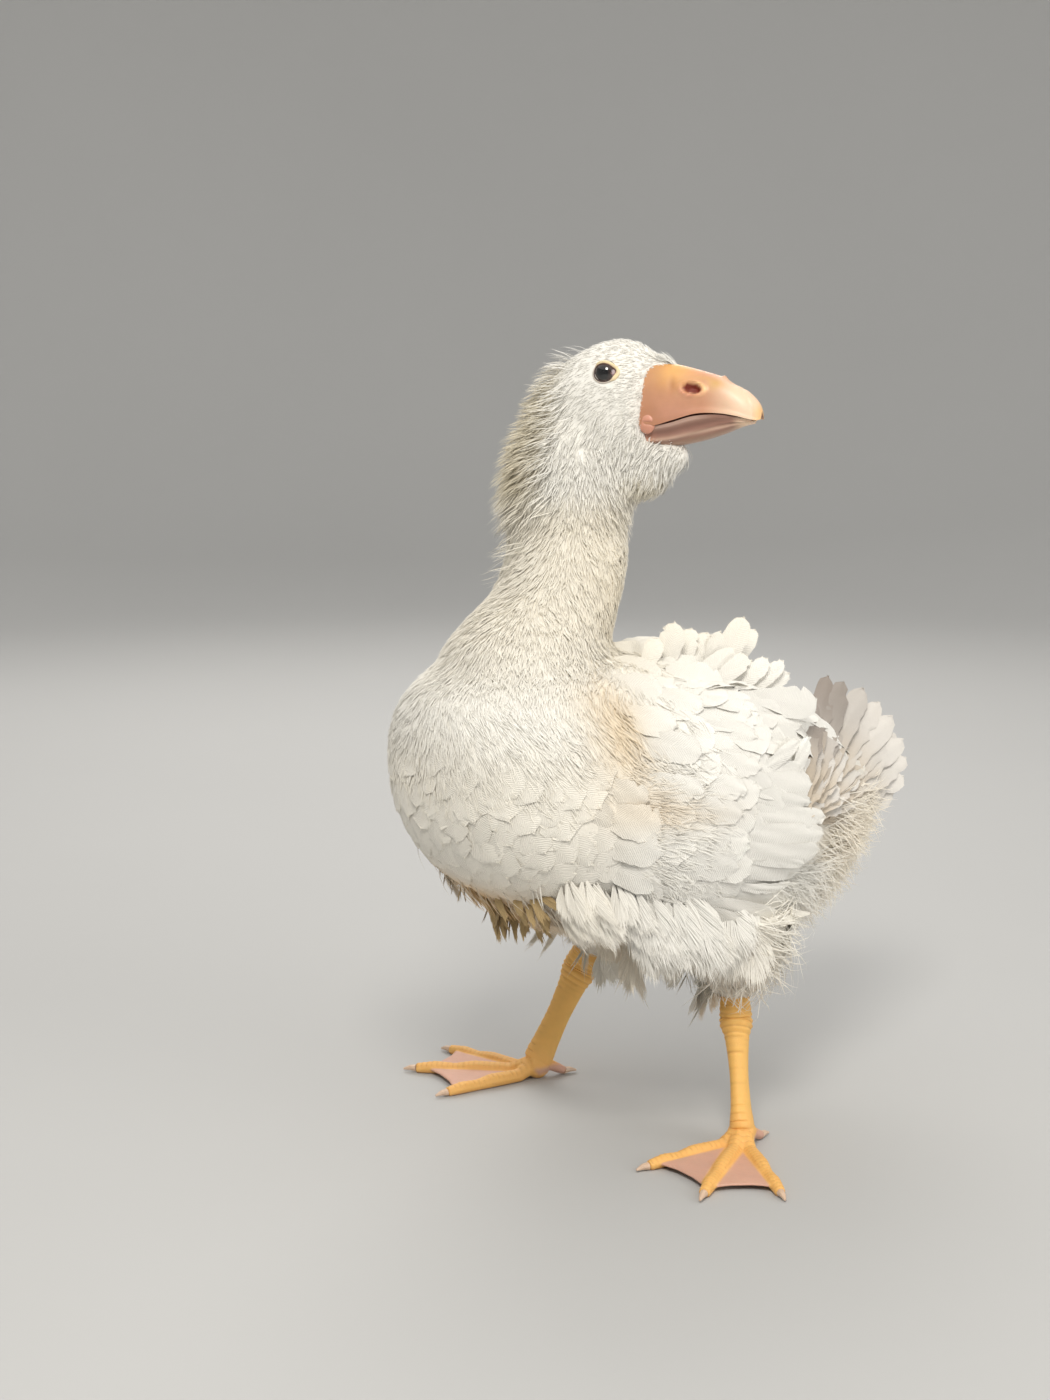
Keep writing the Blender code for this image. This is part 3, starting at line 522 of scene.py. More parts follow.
class Surface:
    """A mesh's surface: where its nearest point is, and random roots on it."""

    def __init__(self, obj):
        mesh = obj.data
        mesh.calc_loop_triangles()
        self.points = points_of(obj)
        self.normals = unit(normals_of(obj))
        triangles = np.empty(len(mesh.loop_triangles) * 3, np.int32)
        mesh.loop_triangles.foreach_get("vertices", triangles)
        self.triangles = triangles.reshape(-1, 3)
        self.tree = BVHTree.FromPolygons(self.points.tolist(), self.triangles.tolist())
        a, b, c = (self.points[self.triangles[:, k]] for k in range(3))
        self.areas = np.linalg.norm(np.cross(b - a, c - a), axis=1) / 2
        self.middles = (a + b + c) / 3

    def roots(self, count, weight, draw):
        """Random points on the surface, thicker where the weight is greater."""
        share = self.areas * np.maximum(weight(self.middles), 0)
        chosen = draw.choice(len(share), count, p=share / share.sum())
        one, two = draw.random(count), draw.random(count)
        flip = one + two > 1
        one[flip], two[flip] = 1 - one[flip], 1 - two[flip]
        mix = np.stack([1 - one - two, one, two], 1)[:, :, None]
        corners = self.triangles[chosen]
        return (self.points[corners] * mix).sum(1), unit((self.normals[corners] * mix).sum(1))

    def spaced(self, spacing, weight, draw):
        """Points at least a spacing apart; the spacing shrinks with the weight's square root."""
        area = float((self.areas * np.clip(weight(self.middles), 0, 1)).sum())
        count = int(TRIES * area / spacing ** 2)
        points, normals = self.roots(count, weight, draw)
        cells, kept = {}, []
        for k, point in enumerate(points):
            cell = tuple((point // spacing).astype(int))
            near = [
                other for dx in (-1, 0, 1) for dy in (-1, 0, 1) for dz in (-1, 0, 1)
                for other in cells.get((cell[0] + dx, cell[1] + dy, cell[2] + dz), ())
            ]
            if all(((points[other] - point) ** 2).sum() > spacing ** 2 for other in near):
                cells.setdefault(cell, []).append(k)
                kept.append(k)
        return points[kept], normals[kept]

    def walk(self, roots, normals, headings, lengths, shares, bends):
        """Paths that follow the surface: places and normals at the given shares of each length."""
        places = np.empty((len(roots), len(shares), 3))
        ups = np.empty_like(places)
        nearest = self.tree.find_nearest
        for k in range(len(roots)):
            here, normal, heading = Vector(roots[k]), Vector(normals[k]), Vector(headings[k])
            length, bend, before = lengths[k], bends[k], 0.0
            for row, share in enumerate(shares):
                if share > before:
                    heading = (heading - normal * heading.dot(normal)).normalized()
                    turned = heading + normal.cross(heading) * (bend * (share - before))
                    heading = turned.normalized()
                    here, found = nearest(here + heading * (length * (share - before)))[:2]
                    normal = (normal + found * 2).normalized()
                    before = share
                places[k, row] = here
                ups[k, row] = normal
        return places, ups


# The way the coat lies

NECK_Z = [row[2] for row in NECK]


def neck_centre(z):
    """The neck's middle at each height."""
    return np.stack([np.interp(z, NECK_Z, [row[axis] for row in NECK]) for axis in (0, 1)], 1)


# The plane between head and neck: a point of it, and its normal
THROAT_LINE = np.array((-0.012, -0.046, 0.341)), np.array((-0.06, 0.25, 0.96))


def regions(points):
    """Shares of head and neck at each point; the rest is body."""
    head = step((points - THROAT_LINE[0]) @ THROAT_LINE[1], -0.010, 0.008)
    neck = step(points[:, 2], 0.205, 0.240) * (1 - head) * step(points[:, 1], 0.0, -0.05)
    return head, neck


def lie(points, normals):
    """The direction in which the coat lies at each point, along the skin."""
    x, y, z = points.T
    f, _, u = head_place(points)
    head, neck = regions(points)
    front = step(y, -0.060, -0.128)
    side = step(np.abs(x), 0.03, 0.07)
    low = step(z, 0.20, 0.12)
    leg = step(z, 0.118, 0.098) * step(y, -0.02, 0.0) * step(y, 0.075, 0.05)
    rear = step(y, 0.06, 0.12) * step(z, 0.21, 0.17)
    body = np.stack([
        0.9 * x / 0.08 * step(z, 0.22, 0.26) + 0.10 * np.sign(x) * side,
        1.0 - 0.75 * leg - 0.3 * front,
        -0.12 - 1.0 * front - 0.55 * low * side - 1.2 * leg - 0.5 * rear,
    ], 1)
    centre = neck_centre(z)
    ahead = neck_centre(z - 0.01) - centre
    azimuth = np.arctan2(y - centre[:, 1], x - centre[:, 0])
    throat = np.radians(-90 + 120 * step(z, 0.25, 0.42))
    delta = (azimuth - throat + np.pi) % (2 * np.pi) - np.pi
    splay = 0.60 * np.tanh(delta / 0.30) * np.cos(delta / 2) ** 2
    down_neck = np.stack([
        ahead[:, 0] / 0.01 - np.sin(azimuth) * splay,
        ahead[:, 1] / 0.01 + np.cos(azimuth) * splay,
        -np.ones(len(points)),
    ], 1)
    drop = 0.12 + 1.0 * step(u, 0.005, -0.045) * step(f, 0.018, 0.002) + 1.3 * step(f, 0.004, -0.036)
    forward, _, up = (np.array(axis) for axis in head_axes())
    on_face = -forward * (1.0 - 0.45 * step(u, -0.02, -0.055))[:, None] - up * drop[:, None]
    way = body * (1 - head - neck)[:, None] + unit(down_neck) * neck[:, None] + unit(on_face) * head[:, None]
    way = way - normals * (way * normals).sum(1)[:, None]
    return unit(way)


# Tufts: half the size of each one's patch on the unwrap, rings of a strand, and its width at them
PATCH = 0.0015
STRAND_ROWS = 3
STRAND_WIDTHS = np.array([0.8, 1.0, 0.72])
# How deep in the skin a tuft starts
STRAND_ROOT, FAN_ROOT, VANE_ROOT = -0.0004, -0.0008, -0.0006


def strand_triangles(rows):
    """Triangles of a three-sided tapering strand that ends in one point."""
    made = [(0, 2, 1)]
    for row in range(rows - 1):
        for k in range(3):
            a, b = row * 3 + k, row * 3 + (k + 1) % 3
            made += [(a, b, b + 3), (a, b + 3, a + 3)]
    last, tip = (rows - 1) * 3, rows * 3
    return np.array(made + [(last + k, last + (k + 1) % 3, tip) for k in range(3)])


def repeated(template, count, size):
    """The triangles of many like tufts, one after another."""
    return (template[None] + (np.arange(count) * size)[:, None, None]).reshape(-1, 3)


def tuft_patch(roots, shares):
    """Places on the unwrap along each tuft, at the given shares of its length."""
    return unwrap(roots)[:, None] + np.stack([shares * 0, shares * 2 - 1], 1)[None] * PATCH


def varied(colours, amount, draw):
    """Colours made a little lighter or darker, each row at random."""
    return colours * (1 + draw.normal(0, amount, len(colours)))[:, None]


def clumped(paths, spacing, strength, draw):
    """Draws the tips of neighbouring strands together."""
    roots = paths[:, 0]
    order = draw.permutation(len(roots))
    cells, centres = set(), []
    for k in order:
        cell = tuple((roots[k] // spacing).astype(int))
        if cell not in cells:
            cells.add(cell)
            centres.append(k)
    lookup = KDTree(len(centres))
    for number, k in enumerate(centres):
        lookup.insert(roots[k], number)
    lookup.balance()
    owner = np.array([centres[lookup.find(root)[1]] for root in roots])
    shares = np.linspace(0, 1, paths.shape[1])[None, :, None] ** 1.3
    pull = strength * draw.uniform(0.5, 1.0, len(roots))[:, None, None]
    return paths + (paths[owner] - paths) * shares * pull


def strand_mesh(name, shader, paths, ups, halves, patch, colours, flat=0.28, root_shade_and_grey=0.84):
    """Tapered three-sided strands along paths: halves gives half their width at each ring."""
    count, rows = paths.shape[0], paths.shape[1] - 1
    ahead = unit(np.gradient(paths, axis=1))
    across = unit(np.cross(ups, ahead))
    above = np.cross(ahead, across)
    half = halves[:, :rows, None]
    body = paths[:, :rows]
    a, b = across[:, :rows] * half, above[:, :rows] * half * flat
    rings = np.stack([body + a - b * 0.5, body + b, body - a - b * 0.5], 2).reshape(count, rows * 3, 3)
    points = np.concatenate([rings, paths[:, -1:]], 1).reshape(-1, 3)
    uv = np.concatenate([np.repeat(patch[:, :rows], 3, axis=1), patch[:, -1:]], 1)
    uv[:, 1:rows * 3:3, 0] += PATCH * 0.1
    size = rows * 3 + 1
    triangles = repeated(strand_triangles(rows), count, size)
    # Each strand is darker at its root and a little brighter at its tip: partly the greyer down at the base,
    # partly painted shade under the coat.
    light = np.concatenate([np.repeat(np.linspace(root_shade_and_grey, 1.0, rows + 1)[:rows], 3), [1.03]])
    colours = np.clip((colours[:, None] * light[None, :, None]).reshape(-1, 3), 0, BRIGHTEST)
    finish_piece(mesh_of(name, points, triangles, shader, colours, uv.reshape(-1, 2)))


def strands(name, skin, shader, count, where, length, width, lift, seed, clump, way=lie, wander=0.16,
            shade=0.05, curl=0.25, root_shade_and_grey=0.82):
    """Fine tapered strands rooted in the skin; clump is how far apart and how strongly their tips gather."""
    draw = np.random.default_rng(seed)
    roots, normals = skin.roots(count, where, draw)
    headings = way(roots, normals)
    sideways = np.cross(normals, headings)
    headings = unit(headings + sideways * draw.normal(0, wander, count)[:, None])
    lengths = (length(roots) if callable(length) else length) * draw.uniform(0.75, 1.2, count)
    lifts = lift * draw.uniform(0.55, 1.35, count)
    shares = np.linspace(0, 1, STRAND_ROWS + 1)
    places, ups = skin.walk(roots, normals, headings, lengths, shares, draw.normal(0, curl, count))
    rise = STRAND_ROOT + shares[None, :, None] ** 0.75 * (lifts[:, None, None] - STRAND_ROOT)
    paths = clumped(places + ups * rise, *clump, draw)
    halves = np.tile(width * STRAND_WIDTHS / 2, (count, 1))
    colours = varied(markings(roots), shade, draw)
    strand_mesh(name, shader, paths, ups, halves, tuft_patch(roots, shares), colours, root_shade_and_grey=root_shade_and_grey)


def fan_blades(blades, widest):
    """Each blade of a feather as three places: share of the length, and share of the half width."""
    made = []
    for k in range(blades):
        angle = (2 * k / (blades - 1) - 1) * 0.92 * math.pi / 2
        along, across = widest + (1 - widest) * math.cos(angle), math.sin(angle)
        root = max(along - 0.45 - 0.20 * abs(across), 0.02)
        near = across * 0.12
        middle = (root + 0.6 * (along - root), near + 0.72 * (across - near))
        made.append(((root, near), middle, (along, across)))
    return np.array(made)


# A soft feather: its barbs, their width, how uneven their lengths are, rows along the shaft, hollow and lift
FAN_BARBS, BARB_WIDTH, RAGGED, FAN_ROWS, FAN_CUP, FAN_LIFT = 34, 0.0008, 0.07, 6, 0.06, 0.001


def fans(name, shader, roots, normals, headings, lengths, half_widths, curls, bends, rolls, widest, tint,
         seed):
    """Soft feathers, each a fan of overlapping barbs from one shaft with a loose edge."""
    draw = np.random.default_rng(seed)
    count = len(roots)
    t = np.linspace(0, 1, FAN_ROWS)[None, :, None]
    sideways = np.cross(normals, headings)[:, None]
    bent = headings[:, None] * t + sideways * t * t * bends[:, None, None] / 2
    places = roots[:, None] + lengths[:, None, None] * bent
    ahead = unit(np.gradient(places, axis=1))
    across = unit(np.cross(normals[:, None], ahead))
    ups = np.cross(ahead, across)
    spots = np.repeat(fan_blades(FAN_BARBS, widest)[None], count, 0)
    spots[:, :, 2] *= 1 + draw.normal(0, RAGGED, (count, FAN_BARBS, 1))
    spots[:, :, 1:, 1] += draw.normal(0, 0.03, (count, FAN_BARBS, 2))
    along = np.clip(spots[..., 0], 0, 1.15)
    spans = FAN_ROWS - 1
    low = np.clip((along * spans).astype(int), 0, spans - 1)
    part = (along * spans - low)[..., None]
    owner = np.arange(count)[:, None, None]

    def at_spots(rows):
        """Values along each shaft, at the spots of its barbs."""
        return rows[owner, low] * (1 - part) + rows[owner, low + 1] * part

    up, side = unit(at_spots(ups)), unit(at_spots(across))
    roll = rolls[:, None, None, None] * along[..., None]
    turned = side * np.cos(roll) + up * np.sin(roll)
    half = half_widths[:, None, None]
    rise = FAN_ROOT + (FAN_LIFT - FAN_ROOT) * along ** 0.7 + curls[:, None, None] * along ** 3
    rise = rise - FAN_CUP * half * spots[..., 1] ** 2 + draw.normal(0, 0.00012, (count, FAN_BARBS, 1))
    paths = at_spots(places) + turned * (spots[..., 1] * half)[..., None] + up * rise[..., None]
    halves = np.tile(np.array([0.6, 1.0]) * BARB_WIDTH / 2, (count * FAN_BARBS, 1))
    patch = unwrap(roots)[:, None, None] + np.stack([spots[..., 1], along * 2 - 1], -1) * PATCH
    colours = varied(markings(roots) if tint is None else np.tile(np.array(tint), (count, 1)), 0.02, draw)
    colours = varied(np.repeat(colours, FAN_BARBS, 0), 0.012, draw)
    strand_mesh(name, shader, paths.reshape(-1, 3, 3), up.reshape(-1, 3, 3), halves, patch.reshape(-1, 3, 2),
                colours, flat=0.18, root_shade_and_grey=0.92)


def vane_triangles(rows, columns):
    """Triangles of a closed vane: a grid above, and one keel of points below it."""
    made = []

    def grid(row, column):
        """Number of a point of the upper grid."""
        return row * columns + column

    def keel(row):
        """Number of a point of the keel."""
        return rows * columns + row

    for row in range(rows - 1):
        for column in range(columns - 1):
            a, b = grid(row, column), grid(row, column + 1)
            c, d = grid(row + 1, column + 1), grid(row + 1, column)
            made += [(a, b, c), (a, c, d)] if column < columns // 2 else [(a, b, d), (b, c, d)]
        left, right = grid(row, 0), grid(row, columns - 1)
        left_next, right_next = grid(row + 1, 0), grid(row + 1, columns - 1)
        made += [(left, left_next, keel(row + 1)), (left, keel(row + 1), keel(row))]
        made += [(right, keel(row), keel(row + 1)), (right, keel(row + 1), right_next)]
    for column in range(columns - 1):
        made.append((grid(0, column + 1), grid(0, column), keel(0)))
        made.append((grid(rows - 1, column), grid(rows - 1, column + 1), keel(rows - 1)))
    return np.array(made)


def outline(shares, shape):
    """Half breadth of a vane along its length: shape is (breadth at the root, where widest, roundness)."""
    root, wide, roundness = shape
    rising = root + (1 - root) * np.sin(np.clip(shares / wide, 0, 1) * np.pi / 2)
    falling = np.clip((shares - wide) / (1 - wide), 0, 1)
    return rising * (1 - falling ** roundness) ** (1 / roundness) + 0.02


def row_shares(rows):
    """Rows of a vane, closer together towards its tip."""
    return 1 - (1 - np.linspace(0, 1, rows)) ** 1.35


BARB_TRIANGLES = np.array([(0, 2, 1), (0, 1, 3), (1, 2, 3), (2, 0, 3)])
# Barbs at a vane's rim: how far they start inside it, how far they reach past it, half width
RIM_INSIDE, RIM_REACH, RIM_WIDTH = 0.0006, 0.0010, 0.00022


def rim_barbs(top, draw):
    """Fine spikes that stand past the rim of each vane's outer half, as four points each."""
    first = top.shape[1] // 2
    rim = np.concatenate([top[:, first:, 0], top[:, -1, 1:-1], top[:, first:, -1][:, ::-1]], 1)
    inner = np.concatenate([top[:, first - 1:-1, 1], top[:, -2, 1:-1], top[:, first - 1:-1, -2][:, ::-1]], 1)
    rim, inner = (
        np.stack([places[:, :-1], (places[:, :-1] + places[:, 1:]) / 2], 2).reshape(len(places), -1, 3)
        for places in (rim, inner)
    )
    away, along = unit(rim - inner), unit(np.gradient(rim, axis=1))
    away = unit(away + draw.normal(0, 0.22, away.shape))
    normal = unit(np.cross(away, along))
    start = rim - away * RIM_INSIDE
    spike = rim + away * RIM_REACH * draw.uniform(0.3, 1.4, rim.shape[:2] + (1,))
    corners = [start + along * RIM_WIDTH, start - along * RIM_WIDTH, start + normal * RIM_WIDTH * 0.7, spike]
    return np.stack(corners, 2).reshape(len(top), -1, 3)


# A vane: points across it, how far its edge is swept back, the shaft's height, the whole's half thickness
COLUMNS, SWEEP, SHAFT, THIN = 9, -0.14, 0.0003, 0.00018


def vane_top(spine, ups, half, rolls, cup, fringe, splits, draw):
    """The upper surface of each vane as a grid, the way up from it, and how far out each of its points is."""
    count, rows = spine.shape[:2]
    shares = row_shares(rows)
    t = shares[None, :, None]
    ahead = unit(np.gradient(spine, axis=1))
    across = unit(np.cross(ups, ahead))
    above = np.cross(ahead, across)
    roll = rolls[:, None, None] * (0.4 + 0.6 * t)
    across, above = across * np.cos(roll) + above * np.sin(roll), above * np.cos(roll) - across * np.sin(roll)
    c = np.linspace(-1, 1, COLUMNS)[None, None]
    wide = np.abs(c)
    spread = half * c
    sweep = SWEEP * half * wide ** 1.5 * step(t, 0.5, 1.0)
    notch = draw.integers(int(rows * 0.55), rows, (count, 1, 1)) == np.arange(rows)[None, :, None]
    notch = notch & (np.sign(c) == draw.choice([-1, 1], (count, 1, 1)))
    notch = notch & (draw.random((count, 1, 1)) < splits)
    spread = spread * (1 - 0.30 * notch * wide ** 2)
    hump = -cup * half * c ** 2 - 0.0006 * notch * wide + SHAFT * (wide < 0.01) * (1 - 0.7 * t)
    hump = hump + 0.0002 * np.sin(9 * t + 5 * c + rolls[:, None, None] * 90)
    rim = (wide > 0.99) | (np.arange(rows) == rows - 1)[None, :, None]
    sweep = sweep + draw.normal(0, fringe, (count, rows, COLUMNS)) * rim
    spread = spread + draw.normal(0, fringe * 0.6, (count, rows, COLUMNS)) * rim
    top = spine[:, :, None] + across[:, :, None] * spread[..., None] + ahead[:, :, None] * sweep[..., None]
    return top + above[:, :, None] * hump[..., None], above, spread


def vane_mesh(name, shader, spine, ups, lengths, half_widths, roots, seed, shape, cup, fringe=0.0003,
              splits=0.9, rolls=None, tints=None):
    """Feathers as thin closed vanes along their shafts, with a raised shaft and some split edges."""
    draw = np.random.default_rng(seed)
    count, rows = spine.shape[:2]
    shares = row_shares(rows)
    rolls = draw.normal(0, 0.06, count) if rolls is None else rolls
    half = half_widths[:, None, None] * outline(shares, shape)[None, :, None]
    top, above, spread = vane_top(spine, ups, half, rolls, cup, fringe, splits, draw)
    keel = spine - above * (THIN + 0.5 * cup * half)
    points = np.concatenate([top.reshape(count, -1, 3), keel], 1)
    size = points.shape[1]
    level = np.concatenate([np.repeat(shares, COLUMNS), shares])
    turn = np.concatenate([np.tile(np.linspace(-1, 1, COLUMNS), rows), np.zeros(rows)])
    uv = unwrap(roots)[:, None] + PATCH * np.stack([turn, level * 2 - 1], 1)[None]
    breadth = np.concatenate([np.abs(spread).reshape(count, -1), np.zeros((count, rows))], 1)
    fibre = np.stack([lengths[:, None] * level[None] - 0.9 * breadth, breadth], 2)
    fibre[..., 0] += draw.uniform(0, 1, count)[:, None]
    colours = tints(level) if tints else markings(points.reshape(-1, 3)).reshape(count, size, 3)
    shade = (1 + draw.normal(0, 0.03, count))[:, None, None]
    colours = colours * shade * (0.86 + 0.16 * level ** 0.8)[None, :, None]
    colours = np.clip(colours, 0, BRIGHTEST)
    spikes = rim_barbs(top, draw)
    each = spikes.shape[1]
    triangles = np.concatenate([
        repeated(vane_triangles(rows, COLUMNS), count, size),
        repeated(BARB_TRIANGLES, count * each // 4, 4) + count * size,
    ])
    rim_colour = np.repeat(colours[:, rows * COLUMNS - 1], each, 0)
    rim_place = np.repeat(unwrap(roots) + np.array((0.0, PATCH)), each, 0)
    finish_piece(mesh_of(
        name, np.concatenate([points.reshape(-1, 3), spikes.reshape(-1, 3)]), triangles, shader,
        np.concatenate([colours.reshape(-1, 3), rim_colour]), np.concatenate([uv.reshape(-1, 2), rim_place]),
        np.concatenate([fibre.reshape(-1, 2), np.zeros((count * each, 2))]), math.radians(50),
    ))


def laid_vanes(name, skin, shader, roots, normals, headings, lengths, half_widths, lifts, seed, rows,
               mirror=False, **details):
    """Vanes rooted in the skin that lie over one another, without those that would fold round an edge."""
    draw = np.random.default_rng(seed + 1000)
    shares = row_shares(rows)
    places, ups = skin.walk(roots, normals, headings, lengths, shares, draw.normal(0, 0.18, len(roots)))
    flat = (ups[:, 0] * ups[:, -1]).sum(1) > 0.5
    rise = VANE_ROOT + (lifts[flat] - VANE_ROOT)[:, None, None] * shares[None, :, None] ** 0.7
    side = MIRROR if mirror else 1.0
    ups, roots = ups[flat], roots[flat]
    spine = (places[flat] + ups * rise) * side
    vane_mesh(name, shader, spine, ups * side, lengths[flat], half_widths[flat], roots * side, seed,
              **details)


# Materials

def shader_nodes(name):
    """A new material with its node tree and Principled shader."""
    made = bpy.data.materials.new(name)
    made.use_nodes = True
    return made, made.node_tree, made.node_tree.nodes["Principled BSDF"]


def add_node(tree, kind, feeds=(), **values):
    """A node with sockets or properties set; feeds are (its input, a node, that node's output)."""
    made = tree.nodes.new(kind)
    for key, value in values.items():
        if key in made.inputs:
            made.inputs[key].default_value = value
        else:
            setattr(made, key, value)
    wire(tree, made, *feeds)
    return made


def wire(tree, node, *feeds):
    """Links other nodes' outputs to a node's inputs."""
    for socket, source, output in feeds:
        tree.links.new(source.outputs[output], node.inputs[socket])


def set_values(shader, **values):
    """Sets a shader's own sockets; a socket's spaces are written as underscores."""
    for key, value in values.items():
        shader.inputs[key.replace("_", " ")].default_value = value


def noise_of_place(tree, scale, detail):
    """The node for places on the object, and a noise over them."""
    where = add_node(tree, "ShaderNodeTexCoord")
    feeds = [("Vector", where, "Object")]
    return where, add_node(tree, "ShaderNodeTexNoise", feeds, Scale=scale, Detail=detail)


def levels(tree, source, output, low, high):
    """A node's values between two levels."""
    made = add_node(tree, "ShaderNodeMapRange", [("Value", source, output)])
    made.inputs["To Min"].default_value, made.inputs["To Max"].default_value = low, high
    return made


def tinted(name, scale, detail, low, high):
    """A material with its points' colours under faint mottling, and the nodes that others build on."""
    made, tree, shader = shader_nodes(name)
    tint = add_node(tree, "ShaderNodeVertexColor", layer_name="tint")
    where, noise = noise_of_place(tree, scale, detail)
    level = levels(tree, noise, "Fac", low, high)
    mixed = add_node(tree, "ShaderNodeMix", data_type="RGBA", blend_type="MULTIPLY")
    mixed.inputs["Factor"].default_value = 1.0
    wire(tree, mixed, ("A", tint, "Color"), ("B", level, "Result"))
    wire(tree, shader, ("Base Color", mixed, "Result"))
    return made, tree, shader, where, noise, level, mixed


def add_bump(tree, shader, source, output, strength, distance):
    """Small relief from a node's values."""
    feeds = [("Height", source, output)]
    bump = add_node(tree, "ShaderNodeBump", feeds, Strength=strength, Distance=distance)
    wire(tree, shader, ("Normal", bump, "Normal"))


def plumage(name, roughness, fibres):
    """White feather: its colour from the points, faint mottling and, on vanes, fine barbs."""
    made, tree, shader, _, noise, level, mixed = tinted(name, 900.0, 3.0, 0.93, 1.05)
    set_values(shader, Roughness=roughness, Specular_IOR_Level=0.25, Sheen_Weight=0.15, Sheen_Roughness=0.5)
    if not fibres:
        add_bump(tree, shader, noise, "Fac", 0.3, 0.0006)
        return made
    place = add_node(tree, "ShaderNodeUVMap", uv_map="fibre")
    feeds = [("Vector", place, "UV")]
    barbs = add_node(tree, "ShaderNodeTexWave", feeds, Scale=230.0, Distortion=3.0, Detail=2.0)
    barbs.inputs["Detail Scale"].default_value = 1.5
    add_bump(tree, shader, barbs, "Fac", 0.4, 0.0005)
    streak = levels(tree, barbs, "Fac", 0.95, 1.02)
    feeds = [(0, streak, "Result"), (1, level, "Result")]
    product = add_node(tree, "ShaderNodeMath", feeds, operation="MULTIPLY")
    wire(tree, mixed, ("B", product, "Value"))
    return made


def view_axes():
    """The camera's level right and forward directions."""
    right = Vector((math.cos(VIEW_HEADING), math.sin(VIEW_HEADING), 0))
    forward = Vector((-math.sin(VIEW_HEADING), math.cos(VIEW_HEADING), 0))
    return right, forward


def eye_point():
    """The camera's place from the goose's own floor point."""
    right, forward = view_axes()
    return right * CAMERA_ASIDE - forward * CAMERA_BACK + UP * CAMERA_HEIGHT


def pixel_ray(u, v):
    """The direction from the camera through a pixel of the 1050 x 1400 picture."""
    right, forward = view_axes()
    ahead = forward * math.cos(PITCH) - UP * math.sin(PITCH)
    above = forward * math.sin(PITCH) + UP * math.cos(PITCH)
    across, rise = (u - FRAME_WIDTH / 2) / FOCAL_PIXELS, (FRAME_HEIGHT / 2 - v) / FOCAL_PIXELS
    return (ahead + right * across + above * rise).normalized()


def make_camera():
    """The camera at the photograph's viewpoint."""
    data = bpy.data.cameras.new("camera")
    data.sensor_width = 36
    data.lens = 36 * FOCAL_PIXELS / FRAME_HEIGHT
    camera = bpy.data.objects.new("camera", data)
    bpy.context.scene.collection.objects.link(camera)
    look = view_axes()[1] * math.cos(PITCH) - UP * math.sin(PITCH)
    camera.location = eye_point() + SHIFT
    camera.rotation_mode = "QUATERNION"
    camera.rotation_quaternion = look.to_track_quat("-Z", "Y")
    bpy.context.scene.camera = camera


# Soft lights: (name, place to the camera's right, ahead and up, size, power, colour), and what they face
LIGHTS = (
    ("key", (-0.15, -1.4, 1.6), 0.6, 24, (1.0, 0.965, 0.90)),
    ("fill", (1.7, -1.0, 0.80), 1.2, 13, (1.0, 0.98, 0.95)),
    ("back", (-0.2, 1.5, 1.4), 1.2, 15, (1.0, 0.97, 0.93)),
)
LIT = Vector((0, 0, 0.22))
# Backdrop: reach of the flat floor, radius of the curve it rises in, height of the wall, sides
FLOOR_REACH, FLOOR_CURVE, WALL_HEIGHT, FLOOR_SIDES = 2.2, 1.2, 2.4, 96


def area_light(name, place, size, power, colour):
    """A square soft light that faces the goose's middle."""
    data = bpy.data.lights.new(name, "AREA")
    data.size, data.energy, data.color = size, power, colour
    light = bpy.data.objects.new(name, data)
    bpy.context.scene.collection.objects.link(light)
    right, forward = view_axes()
    light.location = right * place[0] + forward * place[1] + UP * place[2]
    light.rotation_mode = "QUATERNION"
    light.rotation_quaternion = (LIT - light.location).to_track_quat("-Z", "Y")


def two_tone(name, scale, detail, roughness, dark, light):
    """A plain material that varies a little between two colours."""
    made, tree, shader = shader_nodes(name)
    noise = noise_of_place(tree, scale, detail)[1]
    ramp = add_node(tree, "ShaderNodeValToRGB", [("Fac", noise, "Fac")])
    for element, shade in zip(ramp.color_ramp.elements, (dark, light)):
        element.color = (*shade, 1)
    wire(tree, shader, ("Base Color", ramp, "Color"))
    set_values(shader, Roughness=roughness)
    return made


def make_floor():
    """A pale round floor that rises into a backdrop on every side."""
    bm = bmesh.new()
    turn = np.radians(np.arange(6, 91, 6))
    profile = [(1.0, 0.0), (FLOOR_REACH, 0.0)]
    profile += [(FLOOR_REACH + FLOOR_CURVE * math.sin(a), FLOOR_CURVE * (1 - math.cos(a))) for a in turn]
    profile += [(FLOOR_REACH + FLOOR_CURVE, WALL_HEIGHT)]
    turns = [2 * math.pi * k / FLOOR_SIDES for k in range(FLOOR_SIDES)]
    rows = [[bm.verts.new((reach * math.cos(a), reach * math.sin(a), height)) for a in turns]
            for reach, height in profile]
    middle = bm.verts.new((0, 0, 0))
    for k in range(FLOOR_SIDES):
        after = (k + 1) % FLOOR_SIDES
        bm.faces.new((middle, rows[0][k], rows[0][after]))
        for first, second in zip(rows, rows[1:]):
            bm.faces.new((first[k], second[k], second[after], first[after]))
    floor = from_bmesh("studio_backdrop", bm)
    floor.data.shade_smooth()
    floor.data.materials.append(
        two_tone("studio_paper", 1.5, 4.0, 0.8, (0.46, 0.46, 0.455), (0.49, 0.49, 0.485)))


def make_studio():
    """The floor, a pale sky all round and the soft lights."""
    make_floor()
    world = bpy.data.worlds.new("studio")
    bpy.context.scene.world = world
    world.use_nodes = True
    set_values(world.node_tree.nodes["Background"], Color=(1.0, 0.985, 0.955, 1), Strength=0.78)
    for facts in LIGHTS:
        area_light(*facts)
    bpy.context.scene.view_settings.view_transform = "Standard"


# Bill, eyes, legs and feet

def srgb(*values):
    """A colour written in the 0 to 255 numbers of a screen, as linear values."""
    shares = np.array(values) / 255
    return np.where(shares <= 0.04045, shares / 12.92, ((shares + 0.055) / 1.055) ** 2.4)


